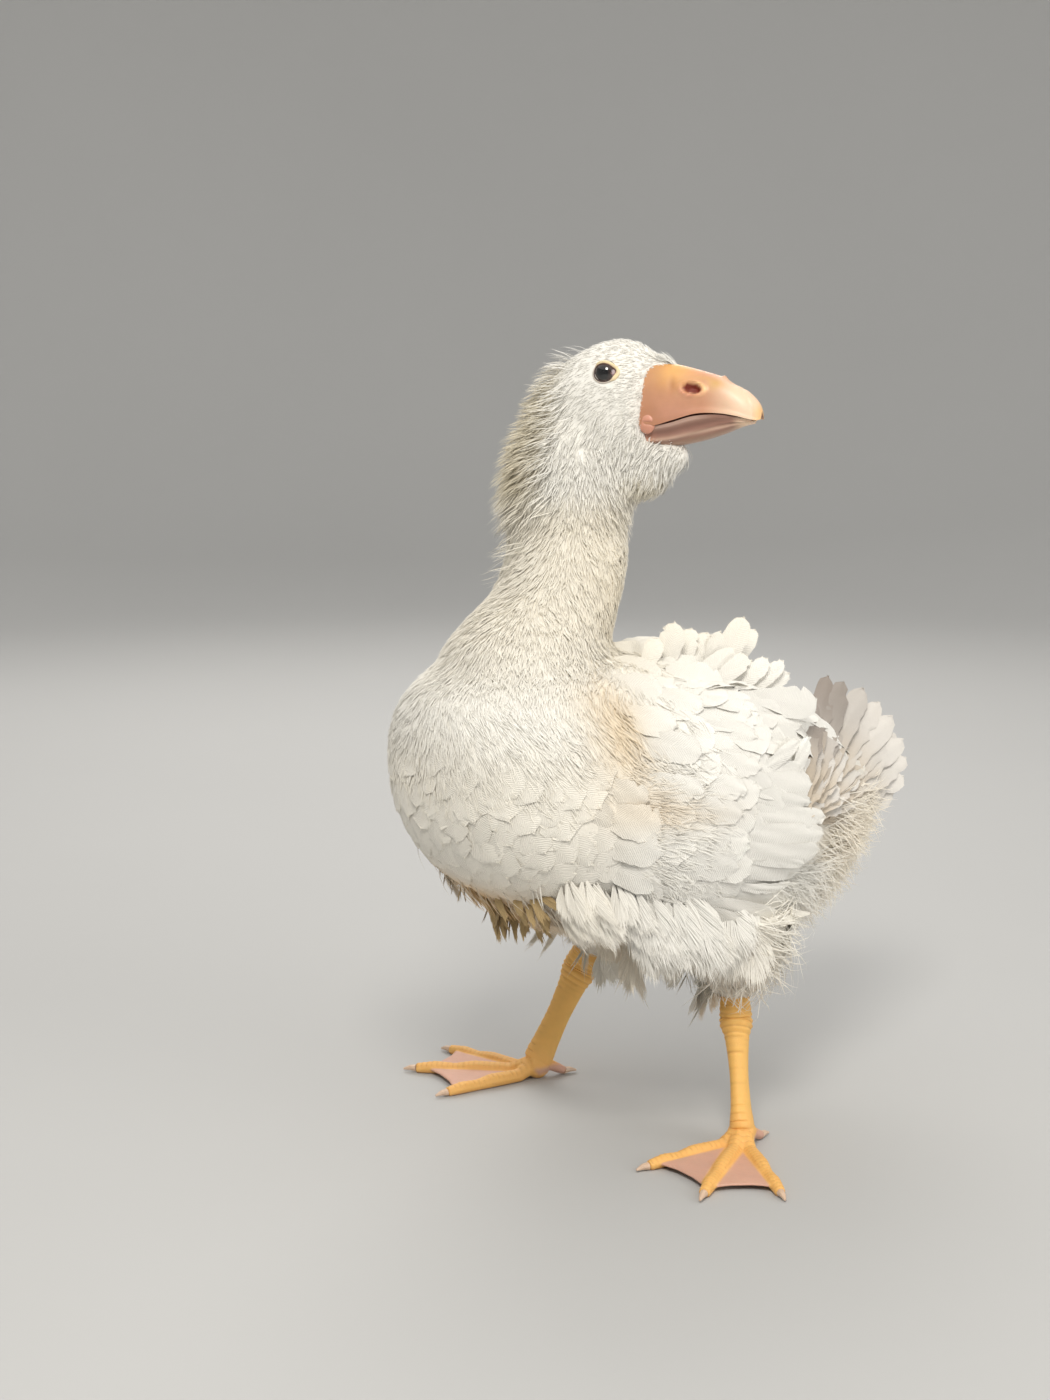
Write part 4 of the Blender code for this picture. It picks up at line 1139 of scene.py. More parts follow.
def horn(name, roughness, mottle_scale, mottle, bump_scale, bump_depth, coat=0.0):
    """Bare skin or horn: the points' colours, faint mottling and fine creases."""
    made, tree, shader, where, *_ = tinted(name, mottle_scale, 5.0, 1 - mottle, 1 + mottle)
    set_values(shader, Roughness=roughness, Coat_Weight=coat, Coat_Roughness=0.25, Subsurface_Weight=0.08,
               Subsurface_Radius=(0.002, 0.0008, 0.0004), Subsurface_Scale=1.0)
    grain = add_node(tree, "ShaderNodeTexVoronoi", [("Vector", where, "Object")], Scale=bump_scale,
                     feature="DISTANCE_TO_EDGE")
    edge = add_node(tree, "ShaderNodeMapRange", [("Value", grain, "Distance")])
    edge.inputs["From Max"].default_value = 0.12
    add_bump(tree, shader, edge, "Result", 0.5, bump_depth)
    return made


def painted(base, count, *layers):
    """A base colour at each point, with layers over it: (share at each point, colour)."""
    colour = np.tile(srgb(*base), (count, 1))
    for share, shade in layers:
        colour = colour + (srgb(*shade) - colour) * np.clip(share, 0, 1)[:, None]
    return colour


def rings_triangles(rows, columns, joined):
    """Triangles between rings of points; joined closes the last ring onto the first."""
    triangles = []
    for row in range(rows if joined else rows - 1):
        for k in range(columns):
            here, there, after = row * columns, (row + 1) % rows * columns, (k + 1) % columns
            a, b, c, d = here + k, here + after, there + after, there + k
            triangles += [(a, b, c), (a, c, d)]
    return triangles


def closed_grid(name, grid, shader, colours, sharp=math.radians(40)):
    """A closed surface through rings of points, capped at both ends."""
    rows, columns = grid.shape[:2]
    points = np.concatenate([grid.reshape(-1, 3), grid[0].mean(0)[None], grid[-1].mean(0)[None]])
    colours = np.concatenate([colours, colours[:1], colours[-1:]])
    triangles = rings_triangles(rows, columns, False)
    first, last = rows * columns, rows * columns + 1
    for k in range(columns):
        after = (k + 1) % columns
        triangles.append((first, after, k))
        triangles.append((last, (rows - 1) * columns + k, (rows - 1) * columns + after))
    made = mesh_of(name, points, np.array(triangles), shader, np.clip(colours, 0, BRIGHTEST), sharp=sharp)
    bm = bmesh.new()
    bm.from_mesh(made.data)
    bmesh.ops.recalc_face_normals(bm, faces=bm.faces)
    bm.to_mesh(made.data)
    bm.free()
    made.data.set_sharp_from_angle(angle=sharp)
    return made


def head_points(local):
    """Points given by forward, side and up of the head, as places."""
    axes = [np.array(axis) for axis in head_axes()]
    return np.array(HEAD_AT) + sum(local[..., k:k + 1] * axes[k] for k in range(3))


def crossways(values, rows, across):
    """Three coordinates, each over rows and across, as one grid of points."""
    return np.stack([value + np.zeros((rows, across)) for value in values], 2)


def bell(values, centre, width):
    """1 at the centre, falling off on both sides."""
    return np.exp(-((values - centre) / width) ** 2)


# Nostril: its middle (forward, up), its half sizes and its slope; the bump on the bill's ridge and the hollow
# before it; the nail's middle and half sizes
NOSTRIL_AT, NOSTRIL_SIZE, NOSTRIL_SLOPE = (0.0452, -0.0079), (0.0052, 0.0027), 0.10
TIP_BUMP, TIP_HOLLOW, NAIL_AT, NAIL_SIZE = 0.0606, 0.0650, 0.0830, (0.0125, 0.0066)
# Points round each section of the bill: over its outside, and back along the mouth
UPPER_OUTSIDE, UPPER_INSIDE, LOWER_OUTSIDE, LOWER_INSIDE = 65, 17, 49, 13
UPPER_ROUND, LOWER_ROUND = 0.88, 0.80


def nostril_place(f, u):
    """Place round the nostril in half sizes, along and across its long axis, and the distance from it."""
    ahead = f - NOSTRIL_AT[0]
    along = ahead / NOSTRIL_SIZE[0]
    across = (u - NOSTRIL_AT[1] + NOSTRIL_SLOPE * ahead) / NOSTRIL_SIZE[1]
    return along, across, np.sqrt(along ** 2 + across ** 2)


def rounded(values, power):
    """Each value's size raised to a power, with its sign kept."""
    return np.sign(values) * np.abs(values) ** power


def upper_bill_relief(f, s, u, rise):
    """How far the upper bill is moved out: nostrils, edges, hollows, nail and the bump on the ridge."""
    along, across, ring_at = nostril_place(f, u)
    side_on = step(np.abs(s), 0.003, 0.007)
    nail = np.sqrt(((f - NAIL_AT) / NAIL_SIZE[0]) ** 2 + (s / NAIL_SIZE[1]) ** 2)
    move = -0.0026 * step(ring_at, 1.02, 0.60) * side_on
    move += 0.00085 * bell(ring_at, 1.34, 0.24) * side_on
    move -= 0.0005 * bell(along, -2.15, 0.40) * bell(across, 0.2, 1.6) * side_on
    move -= (0.0009 * bell(u, -0.0165 - 0.05 * (f - 0.04), 0.0050)
             * step(f, 0.024, 0.034) * step(f, 0.074, 0.060))
    move -= 0.0006 * bell(f, 0.026, 0.006) * bell(u, -0.012, 0.009)
    move += 0.0005 * bell(rise, 0.04, 0.07)
    move += 0.0003 * step(nail, 1.0, 0.85) - 0.00025 * bell(nail, 1.06, 0.07)
    move += 0.0015 * bell(f, TIP_BUMP, 0.0015) * bell(s, 0.0, 0.0016)
    move -= 0.0014 * bell(f, TIP_HOLLOW, 0.0035) * bell(s, 0.0, 0.004)
    return move[..., None]


def upper_bill_colour(f, s, u, inside):
    """Flesh pink with an orange base, a pale tip, and reddish nostrils and mouth; painted shade darkens the
    lower side and the base, and the mouth's dark red is partly painted shade.
    """
    along, across, ring_at = nostril_place(f, u)
    side_on = step(np.abs(s), 0.003, 0.007)
    olive = bell(f, 0.0575, 0.0045) * bell(u, -0.0050, 0.0038)
    olive += 0.6 * bell(f, 0.052, 0.006) * bell(u, -0.0022, 0.0014)
    return painted(
        (208, 152, 120), len(f),
        (step(u, -0.014, 0.001) * step(f, 0.056, 0.030), (232, 174, 100)),
        # This layer and the next darken the lower side and the base: painted shade.
        (0.8 * step(u, -0.013, -0.021) * step(f, 0.062, 0.040), (186, 130, 104)),
        (0.7 * step(f, 0.036, 0.020), (178, 124, 90)),
        (step(f, 0.050, 0.070), (238, 204, 174)),
        (0.8 * olive * side_on, (206, 162, 88)),
        (0.9 * bell(ring_at, 1.36, 0.24) * side_on * step(along, -0.6, 0.8), (252, 208, 148)),
        (0.7 * bell(ring_at, 1.32, 0.22) * side_on * step(across, 0.2, -0.8), (236, 168, 138)),
        (0.5 * bell(along, -2.15, 0.40) * bell(across, 0.2, 1.6) * side_on, (170, 110, 70)),
        (step(ring_at, 1.04, 0.86) * side_on, (126, 46, 30)),
        (0.8 * step(f, 0.0765, 0.081) * step(u, -0.012, -0.02), (238, 190, 124)),
        (0.6 * bell(f, TIP_BUMP, 0.0012) * bell(s, 0.0, 0.0012), (150, 96, 66)),
        # The mouth's own dark red, made darker partly as painted shade.
        (0.85 * inside, (120, 62, 50)),
    )


def make_upper_bill(shader):
    """The upper bill: ridge, nostrils with their rims, cutting edges and nail."""
    rows = np.array(between(BILL_UPPER, 14))
    angles = np.linspace(0, math.pi, UPPER_OUTSIDE)
    place, half, top, edge = rows.T[:, :, None]
    rise = np.sin(angles) ** UPPER_ROUND
    outside = crossways((place, half * rounded(np.cos(angles), UPPER_ROUND), edge + (top - edge) * rise),
                        len(rows), UPPER_OUTSIDE)
    out = unit(crossways((0, np.cos(angles), np.sin(angles) * 0.8), len(rows), UPPER_OUTSIDE))
    outside += out * upper_bill_relief(*np.moveaxis(outside, 2, 0), rise)
    shares = np.linspace(-0.93, 0.93, UPPER_INSIDE)
    roof = edge + 0.0007 + 0.0014 * (1 - shares ** 2)
    under = crossways((place, half * shares, roof), len(rows), UPPER_INSIDE)
    grid = np.concatenate([outside, under], 1)
    inside = np.tile(np.arange(grid.shape[1]) >= UPPER_OUTSIDE, len(rows))
    colour = upper_bill_colour(*grid.reshape(-1, 3).T, inside)
    finish_piece(closed_grid("bill_upper_skin", head_points(grid), shader, colour), ("bill_upper",))


def make_lower_bill(shader):
    """The lower bill with its pale rim and its long groove, darkened all over partly by painted shade, with
    painted shade in the hollow below the rim and a painted highlight along the groove's ridge.
    """
    rows = np.array(between(BILL_LOWER, 14))
    angles = np.linspace(math.pi, 2 * math.pi, LOWER_OUTSIDE)
    place, half, top, under = rows.T[:, :, None]
    down = np.abs(np.sin(angles)) ** LOWER_ROUND
    outside = crossways((place, half * rounded(np.cos(angles), LOWER_ROUND), top - (top - under) * down),
                        len(rows), LOWER_OUTSIDE)
    out = unit(crossways((0, np.cos(angles), np.sin(angles)), len(rows), LOWER_OUTSIDE))
    groove = 0.62 - 0.25 * step(place, 0.03, 0.07)
    move = 0.0005 * bell(down, 0.06, 0.10) - 0.0013 * bell(down, 0.40, 0.20) * step(place, 0.072, 0.055)
    move += 0.0004 * bell(down, groove + 0.06, 0.06) - 0.0003 * bell(down, groove + 0.20, 0.08)
    shares = np.linspace(0.93, -0.93, LOWER_INSIDE)
    upper = crossways((place, half * shares, top - 0.0010 * (1 - shares ** 2)), len(rows), LOWER_INSIDE)
    grid = np.concatenate([outside + out * move[..., None], upper], 1)
    downs = np.tile(np.concatenate([down, np.zeros(LOWER_INSIDE)]), len(rows))
    f = grid[..., 0].reshape(-1)
    # Mauve-brown, made darker partly as painted shade. The rim's pale strip is its own pale colour and partly
    # a painted highlight, the hollow below it is painted shade, and the pale line on the groove's ridge is a
    # painted highlight. Then come a lighter underside, a pinker base and a pale tip.
    colour = painted(
        (158, 118, 102), len(f),
        (0.9 * bell(downs, 0.08, 0.10) * step(f, 0.060, 0.045), (206, 172, 156)),
        (0.7 * bell(downs, 0.38, 0.16) * step(f, 0.074, 0.05), (130, 92, 80)),
        (0.6 * bell(downs, 0.66, 0.07), (224, 190, 168)),
        (0.5 * step(downs, 0.75, 0.95), (188, 158, 136)),
        (0.6 * step(f, 0.028, 0.018), (206, 146, 120)),
        (step(f, 0.066, 0.074), (238, 206, 176)),
    )
    finish_piece(closed_grid("bill_lower_skin", head_points(grid), shader, colour), ("bill_lower",))


def make_mouth(shader):
    """The inside of the mouth, which shows in the gap between the bills: dark red, its darkness partly painted
    shade.
    """
    upper_rows, lower_rows = np.array(BILL_UPPER), np.array(BILL_LOWER)
    places = np.linspace(0.008, 0.0725, 24)
    turns = np.linspace(0, 2 * math.pi, 17)[:-1]
    high = np.interp(places, upper_rows[:, 0], upper_rows[:, 3]) + 0.0022
    low = np.interp(places, lower_rows[:, 0], lower_rows[:, 2]) - 0.0018
    wide = np.interp(places, lower_rows[:, 0], lower_rows[:, 1]) * 0.84
    middle, half = (high + low) / 2, (high - low) / 2
    s, u = wide[:, None] * np.cos(turns), middle[:, None] + half[:, None] * np.sin(turns)
    grid = crossways((places[:, None], s, u), len(places), len(turns))
    # Dark red, its darkness partly painted shade in the gap.
    colour = painted((96, 44, 36), len(places) * len(turns))
    finish_piece(closed_grid("mouth_inside", head_points(grid), shader, colour))


# Pads at the corners of the mouth: place (forward, to the side, up) and half sizes
GAPE_AT, GAPE_SIZE = (0.0212, 0.0119, -0.0266), (0.0046, 0.0017, 0.0052)


def dress(obj, colours, shader, replaced=()):
    """Gives an object its points' colours and its material, smooth, and finishes it."""
    paint_points(obj.data, colours)
    obj.data.materials.clear()
    obj.data.materials.append(shader)
    obj.data.shade_smooth()
    finish_piece(obj, replaced)


def make_gape(shader):
    """The fleshy pads at the corners of the mouth, each with the mouth line's end pressed into it."""
    for side, name in ((1, "right"), (-1, "left")):
        pad = ball(f"gape_{name}", Vector((0, 0, 0)), GAPE_SIZE, None, 48, 32)
        f, s, u = points_of(pad).T
        crease = bell(u, 0.0006 - 0.10 * f, 0.0008) * step(f, -0.0025, 0.0005)
        s = s * (1 - 0.30 * crease) - np.sign(s) * 0.0006 * crease
        place = np.stack([f, s, u], 1) + np.array((GAPE_AT[0], side * GAPE_AT[1], GAPE_AT[2]))
        move_points(pad, head_points(place))
        dress(pad, painted(
            (206, 146, 122), len(f),
            (0.6 * step(f, -0.002, -0.005), (224, 168, 146)),
            # The crease is painted dark: painted shade in the pressed-in end of the mouth line.
            (0.8 * crease, (120, 72, 60)),
        ), shader)


def eye_material():
    """The glossy eyeball, coloured by its points."""
    made, tree, shader = shader_nodes("eye_gloss")
    wire(tree, shader, ("Base Color", add_node(tree, "ShaderNodeVertexColor", layer_name="tint"), "Color"))
    set_values(shader, Roughness=0.06, Coat_Weight=1.0, Coat_Roughness=0.02)
    return made


# The eye's opening: half its length, half its height, and how far its front corner is drawn out
EYE_OPENING, EYE_CORNER = (0.0055, 0.0047), 0.0010
# What edges the opening: name, how far outside it, radius above and below, colour above and below
EDGINGS = (
    ("lid", 0.0006, (0.00120, 0.00035), (230, 210, 168), (196, 184, 172)),
    ("rim", -0.0001, (0.00048, 0.00040), (84, 54, 42), (70, 52, 48)),
)


def lid_point(angle, grow):
    """Forward and up of the eye's opening at an angle from its front corner."""
    corner = EYE_CORNER * max(math.cos(angle), 0) ** 8
    across, rise = EYE_OPENING
    return (across + grow + corner) * math.cos(angle), (rise + grow) * math.sin(angle) + 0.0002


def lid_height(skin, side, forward, up):
    """How far from the head's middle a lid lies: just over the skin and the eyeball."""
    outward = np.array(head_axes()[1]) * side
    found = skin.tree.ray_cast(on_head(forward, side * 0.05, up), Vector(-outward))[0]
    on_skin = (np.array(found) - np.array(HEAD_AT)) @ outward if found else 0.0
    inside = EYE_RADIUS ** 2 - forward ** 2 - up ** 2
    return max(on_skin + 0.0004, EYE_AT[1] + math.sqrt(max(inside, 0)))


def make_edging(skin, shader, side, name, label, grow, thick, upper, lower):
    """A lid or rim round one eye: a closed tube, thicker and of another colour above than below."""
    turns = [2 * math.pi * k / 56 for k in range(56)]
    around = np.linspace(0, 2 * math.pi, 13)[:-1]
    opening = [lid_point(angle, grow) for angle in turns]
    path = np.array([(f, side * lid_height(skin, side, f, u), u) for f, u in opening])
    share = np.array([step(math.sin(angle + 0.75), -0.35, 0.25) for angle in turns])[:, None]
    upper, lower = srgb(*upper), srgb(*lower)
    radii = (thick[1] + (thick[0] - thick[1]) * share)[..., None]
    out = np.array((0.0, side, 0.0))
    across = unit(np.cross(unit(np.roll(path, -1, 0) - np.roll(path, 1, 0)), out))[:, None]
    section = np.cos(around)[None, :, None] * across + 0.7 * np.sin(around)[None, :, None] * out
    grid = path[:, None] + radii * section
    triangles = np.array(rings_triangles(len(turns), len(around), True))
    if side < 0:
        triangles = triangles[:, [0, 2, 1]]
    shades = np.repeat(lower + (upper - lower) * share, len(around), 0)
    finish_piece(mesh_of(f"{label}_{name}", head_points(grid).reshape(-1, 3), triangles, shader, shades,
                         sharp=math.radians(80)))


def make_eyes(skin, bare):
    """Eyeballs with pupil and iris, dark rims and cream lids."""
    gloss = eye_material()
    for side, name in ((1, "right"), (-1, "left")):
        centre = on_head(EYE_AT[0], side * EYE_AT[1], EYE_AT[2])
        eye = ball(f"eyeball_{name}", centre, (EYE_RADIUS,) * 3, None, 64, 48)
        f, _, u = head_place(points_of(eye))
        r = np.hypot(f, u)
        dress(eye, painted(
            (62, 46, 44), len(f),
            (step(r, 0.0050, 0.0044), (46, 34, 30)),
            (step(r, 0.0036, 0.0033), (10, 11, 14)),
            (step(f - 0.5 * np.abs(u), 0.0040, 0.0046), (140, 112, 114)),
        ), gloss, (f"eye_{name}",))
        for facts in EDGINGS:
            make_edging(skin, bare, side, name, *facts)


def scute_rings(places, spacing):
    """A small step at each scute's edge along a length."""
    share = (places / spacing) % 1.0
    return share ** 2 - 2.2 * bell(share, 0.0, 0.09) - 2.2 * bell(share, 1.0, 0.09)


# Lengths of a scute on shank and toes, of a crease at the joint, and points round the shank
SHANK_SCUTE, TOE_SCUTE, CREASE, SHANK_SIDES = 0.0042, 0.0032, 0.0034, 48
# How far down the shank its creased joint is, and how long
JOINT_AT, JOINT_LENGTH = 0.012, 0.010


def make_shank(name, facts, shader):
    """The bare shank: creased joint, scutes down its front, and small scales elsewhere."""
    hock, ankle, top = Vector(facts["hock"]), Vector(facts["ankle"]), thigh_top(facts)
    heading = math.radians(facts["splay"])
    front = Vector((facts["side"] * math.sin(heading), -math.cos(heading), 0))
    knee = hock + (top - hock) * KNEE
    rows = [(*(knee + (top - hock) * 0.10), *SHANK_HIDDEN), (*knee, *SHANK_TOP)]
    rows += [(*hock.lerp(ankle, share), *sizes) for share, *sizes in SHANK]
    rows = np.array(between(rows, 16))
    path = rows[:, :3]
    ahead = unit(np.gradient(path, axis=0))
    across = unit(np.cross(ahead, np.array(front)))
    fore = np.cross(across, ahead)
    turns = np.linspace(0, 2 * math.pi, SHANK_SIDES + 1)[:-1]
    length = np.cumsum(np.concatenate([[0], np.linalg.norm(np.diff(path, axis=0), axis=1)]))[:, None]
    length = length - length[16]
    front_share = step(np.sin(turns), 0.35, 0.75)[None]
    joint = bell(length, JOINT_AT, JOINT_LENGTH)
    creases = np.sin(length * 2 * math.pi / CREASE + 0.6 * np.sin(turns)[None] * 3)
    move = 0.00022 * scute_rings(length, SHANK_SCUTE) * front_share * (1 - joint) + 0.00035 * creases * joint
    a = (rows[:, 3][:, None] + move) * np.cos(turns)
    b = (rows[:, 4][:, None] + move) * np.sin(turns)
    grid = path[:, None] + across[:, None] * a[..., None] + fore[:, None] * b[..., None]
    # Darker in the troughs of the joint's creases, which is painted shade, and at the edges of the scutes down
    # the front.
    dark = step(creases, -0.4, -1.0) * joint * 0.35
    dark = dark + front_share * bell((length / SHANK_SCUTE) % 1.0, 0.0, 0.12) * (1 - joint) * 0.30
    low = np.repeat(step(length[:, 0], 0.055, 0.075), SHANK_SIDES)
    layers = ((dark.reshape(-1), (178, 118, 52)), (0.35 * low, (236, 172, 104)))
    colour = painted((243, 190, 104), a.size, *layers)
    finish_piece(closed_grid(f"shank_{name}_skin", grid, shader, colour), (f"shank_{name}",))


# Meshing of the feet, and the claws that keep their solids
FOOT_VOXEL, FOOT_SMOOTHING = 0.00075, 5
CLAWS = ("inner", "middle", "outer", "hind")


def toe_places(points, facts):
    """Each point's distance along the nearest front toe, and its distance from that toe in toe radii."""
    nearest, along = np.full(len(points), 1e9), np.zeros(len(points))
    x, y, _ = facts["ankle"]
    for angle, length, root_radius, tip_radius in TOES.values():
        heading = math.radians(facts["splay"] + angle)
        ahead = np.array((facts["side"] * math.sin(heading), -math.cos(heading), 0.0))
        off = points - (x, y, 0.0)
        place = np.clip(off @ ahead, 0, length)
        aside = np.linalg.norm((off - place[:, None] * ahead)[:, :2], axis=1)
        ratio = aside / (root_radius + (tip_radius - root_radius) * place / length)
        along[ratio < nearest] = place[ratio < nearest]
        nearest = np.minimum(nearest, ratio)
    return along, nearest


def make_foot(name, facts, shader, claw_shader):
    """The webbed foot from its solid, meshed finely, with scutes on the toes; and its claws."""
    solid = bpy.data.objects["foot_" + name]
    foot = link(f"foot_{name}_skin", solid.data.copy())
    matrix = np.array(solid.matrix_world)
    move_points(foot, points_of(foot) @ matrix[:3, :3].T + matrix[:3, 3] - np.array(SHIFT))
    smoothed(foot, FOOT_SMOOTHING, FOOT_VOXEL)
    points, normals = points_of(foot), normals_of(foot)
    along, nearest = toe_places(points, facts)
    x, y, z = points.T
    upward = step(normals[:, 2], 0.2, 0.6)
    on_toe = step(nearest, 1.05, 0.75)
    web = step(nearest, 1.0, 1.4) * step(z, 0.010, 0.006)
    wrinkle = np.sin(x * 1500 + 2 * np.sin(y * 400)) * np.sin(y * 1300 + 2 * np.sin(x * 500))
    move = 0.00020 * scute_rings(along, TOE_SCUTE) * on_toe * upward + 0.00010 * wrinkle * web * upward
    move *= step(z, 0.0012, 0.0025)
    move_points(foot, points + normals * move[:, None])
    dress(foot, painted(
        (240, 184, 104), len(points),
        (0.85 * web, (206, 162, 150)),
        (0.35 * bell((along / TOE_SCUTE) % 1.0, 0.0, 0.14) * on_toe * upward, (176, 116, 60)),
        (0.5 * step(z, 0.0016, 0.0006), (190, 140, 110)),
    ), shader, ("foot_" + name,))
    for toe in CLAWS:
        claw = bpy.data.objects[f"claw_{toe}_{name}"]
        claw.data.materials.clear()
        claw.data.materials.append(claw_shader)


# The short feathers at the bill: half width and tip of the wedge on its ridge, how far forward the rest
# reach, their count, and the shares of them on the ridge and under the bill
BROW_HALF, BROW_TIP, BROW_LINE = 0.0052, 0.0335, 0.0180
EDGING_COUNT, WEDGE_SHARE, UNDER_SHARE = 1700, 0.33, 0.18
# Height of the mouth's corners, which stay bare
MOUTH_CORNER = -0.0265


def edging_roots(draw):
    """Roots round the bill's base, on its ridge and under it: places, ways out, and which are the ridge's."""
    upper, lower = np.array(BILL_UPPER), np.array(BILL_LOWER)
    kind = draw.random(EDGING_COUNT)
    angle = draw.uniform(0, math.pi, EDGING_COUNT)
    wedge, under = kind < WEDGE_SHARE, kind > 1 - UNDER_SHARE
    f = BROW_LINE + draw.uniform(-0.004, 0.0005, EDGING_COUNT)
    s = np.interp(f, upper[:, 0], upper[:, 1]) * rounded(np.cos(angle), UPPER_ROUND)
    top, edge = np.interp(f, upper[:, 0], upper[:, 2]), np.interp(f, upper[:, 0], upper[:, 3])
    u = edge + (top - edge) * np.sin(angle) ** UPPER_ROUND
    reach = draw.random(EDGING_COUNT) ** 0.8
    f = np.where(wedge, BROW_LINE + (BROW_TIP - BROW_LINE) * reach, f)
    s = np.where(wedge, draw.uniform(-1, 1, EDGING_COUNT) * BROW_HALF * np.sqrt(1 - 0.9 * reach), s)
    u = np.where(wedge, np.interp(f, upper[:, 0], upper[:, 2]) - 0.9 * np.abs(s) ** 2 / 0.013 - 0.0003, u)
    out = np.stack([0 * s, np.where(wedge, s / 0.010, np.cos(angle)), np.where(wedge, 1.0, np.sin(angle))], 1)
    down = draw.uniform(-1, 1, EDGING_COUNT)
    f = np.where(under, BROW_LINE + draw.uniform(-0.004, 0.0005, EDGING_COUNT), f)
    s = np.where(under, 0.0116 * down, s)
    u = np.where(under, np.interp(f, lower[:, 0], lower[:, 3]) + 0.004 * np.abs(down) ** 3, u)
    out[under] = np.stack([0 * down, down * 0.5, -np.ones(EDGING_COUNT)], 1)[under]
    mouth = (np.abs(u - MOUTH_CORNER) < 0.0052) & ~under & (np.abs(s) > 0.006)
    return np.stack([f, s, u], 1)[~mouth], unit(out)[~mouth], wedge[~mouth]


def make_bill_edging(shader):
    """Short feathers that cover the bill's base, and a wedge of them on its ridge."""
    draw = np.random.default_rng(90)
    local, out, wedge = edging_roots(draw)
    count = len(local)
    back = np.tile(np.array((-1.0, 0.0, 0.0)), (count, 1)) + draw.normal(0, 0.16, (count, 3))
    back[:, 2] += np.where(local[:, 2] > 0, 0.25, -0.25)
    lengths = draw.uniform(0.0050, 0.0075, count) * np.where(wedge, 1.35, 1.0)
    shares = np.linspace(0, 1, STRAND_ROWS + 1)
    t = shares[None, :, None]
    rise = np.where(wedge, 0.0030, 0.0022)[:, None, None]
    paths = local[:, None] + unit(back)[:, None] * lengths[:, None, None] * t
    places = head_points(paths + out[:, None] * (-0.0003 + rise * np.sqrt(t)))
    ups = np.repeat((out @ np.array([np.array(axis) for axis in head_axes()]))[:, None], len(shares), 1)
    halves = np.tile(np.array([0.9, 1.0, 0.7]) * 0.0003, (count, 1))
    colours = varied(markings(places[:, 0]), 0.03, draw)
    strand_mesh("bill_edging", shader, places, ups, halves, tuft_patch(places[:, 0], shares), colours)


# The skin and the coat

# Feathers where the photograph shows them: (u, v) of root, (u, v) of tip, half width, how far in front, roll
FLIGHT = (
    ((690, 906), (748, 927), 9, 2, 0.0), ((640, 905), (704, 926), 11, 2, 0.0),
    ((690, 900), (776, 917), 12, 3, 0.1), ((690, 893), (792, 900), 13, 4, 0.0),
    ((735, 887), (790, 885), 6, 5, 0.1), ((705, 870), (801, 871), 13, 6, 0.0),
    ((745, 856), (806, 864), 8, 7, 0.0), ((730, 846), (820, 850), 13, 8, 0.1),
    ((728, 830), (825, 834), 13, 9, 0.0), ((728, 814), (826, 817), 12, 10, -0.1),
    ((735, 800), (812, 802), 9, 11, 0.0), ((735, 782), (813, 784), 17, 12, 0.0),
    ((735, 770), (806, 768), 11, 11, 0.1), ((760, 774), (800, 740), 8, 10, 0.2),
    ((795, 780), (809, 737), 9, 11, 0.2), ((715, 748), (782, 748), 9, 9, 0.0),
    ((715, 736), (797, 738), 9, 10, 0.0), ((712, 722), (802, 724), 9, 11, 0.0),
    ((718, 708), (801, 712), 10, 12, 0.0), ((750, 698), (817, 698), 17, 15, 0.1),
    ((760, 692), (790, 672), 7, 12, 0.1), ((752, 690), (784, 660), 8, 10, 0.0),
    ((738, 686), (768, 657), 9, 9, 0.0), ((726, 680), (752, 659), 8, 8, -0.1),
)
COVERTS = (
    ((612, 868), (662, 884), 17, 2, 0.0), ((614, 888), (660, 908), 14, 1, 0.0),
    ((640, 886), (722, 894), 16, 4, 0.1), ((608, 843), (664, 854), 18, 3, 0.0),
    ((652, 858), (740, 868), 17, 6, 0.0), ((655, 832), (750, 842), 18, 8, 0.0),
    ((606, 815), (664, 824), 18, 4, 0.0), ((660, 805), (744, 814), 14, 12, 0.0),
    ((640, 782), (706, 792), 13, 12, 0.0), ((692, 778), (748, 790), 12, 13, 0.0),
    ((600, 788), (650, 800), 13, 11, 0.0), ((700, 758), (762, 766), 12, 13, 0.0),
    ((640, 742), (704, 752), 15, 12, 0.0), ((690, 730), (757, 736), 13, 13, 0.0),
    ((622, 712), (678, 724), 15, 12, 0.0), ((690, 704), (752, 712), 12, 14, 0.0),
    ((650, 696), (704, 706), 13, 13, 0.0), ((612, 684), (668, 694), 14, 12, 0.0),
    ((706, 686), (764, 696), 12, 14, 0.0), ((668, 676), (725, 682), 19, 17, 0.1),
    ((612, 662), (664, 674), 13, 12, 0.0), ((660, 664), (715, 666), 12, 13, 0.0),
    ((612, 648), (674, 656), 12, 12, 0.0), ((630, 650), (696, 648), 13, 13, 0.0),
    ((672, 662), (728, 654), 12, 15, 0.0), ((700, 672), (752, 662), 11, 15, 0.0),
    ((615, 642), (668, 641), 11, 11, 0.0),
)
CREST = (
    ((668, 662), (675, 621), 13, 2, 0.0), ((684, 662), (692, 627), 10, 3, 0.0),
    ((698, 664), (708, 631), 11, 3, 0.0), ((710, 668), (721, 630), 10, 3, 0.1),
    ((720, 672), (745, 616), 13, 4, 0.0), ((732, 668), (756, 628), 9, 3, 0.1),
    ((696, 672), (735, 648), 10, 5, 0.0), ((716, 682), (748, 654), 10, 5, 0.0),
    ((646, 662), (658, 637), 10, 1, 0.0),
)
# Pixels to a metre at the wing's distance
PIXELS_PER_METRE = 1880.0
# Depth that a feather gains for each pixel it runs to the right, as it lies back along the body
DEPTH_PER_PIXEL = 0.00052
# How near and how far a sight line is searched for the skin, where it passes beside it
SEARCH = np.arange(0.9, 1.3, 0.004)
# How far before the skin the feathers lie that are placed by pixels, and each of their layers before the last
BEFORE_SKIN, LAYER = 0.0017, 0.00024
# Feathers rooted above this row of the frame are on the near side alone
LEFT_ONLY = 662
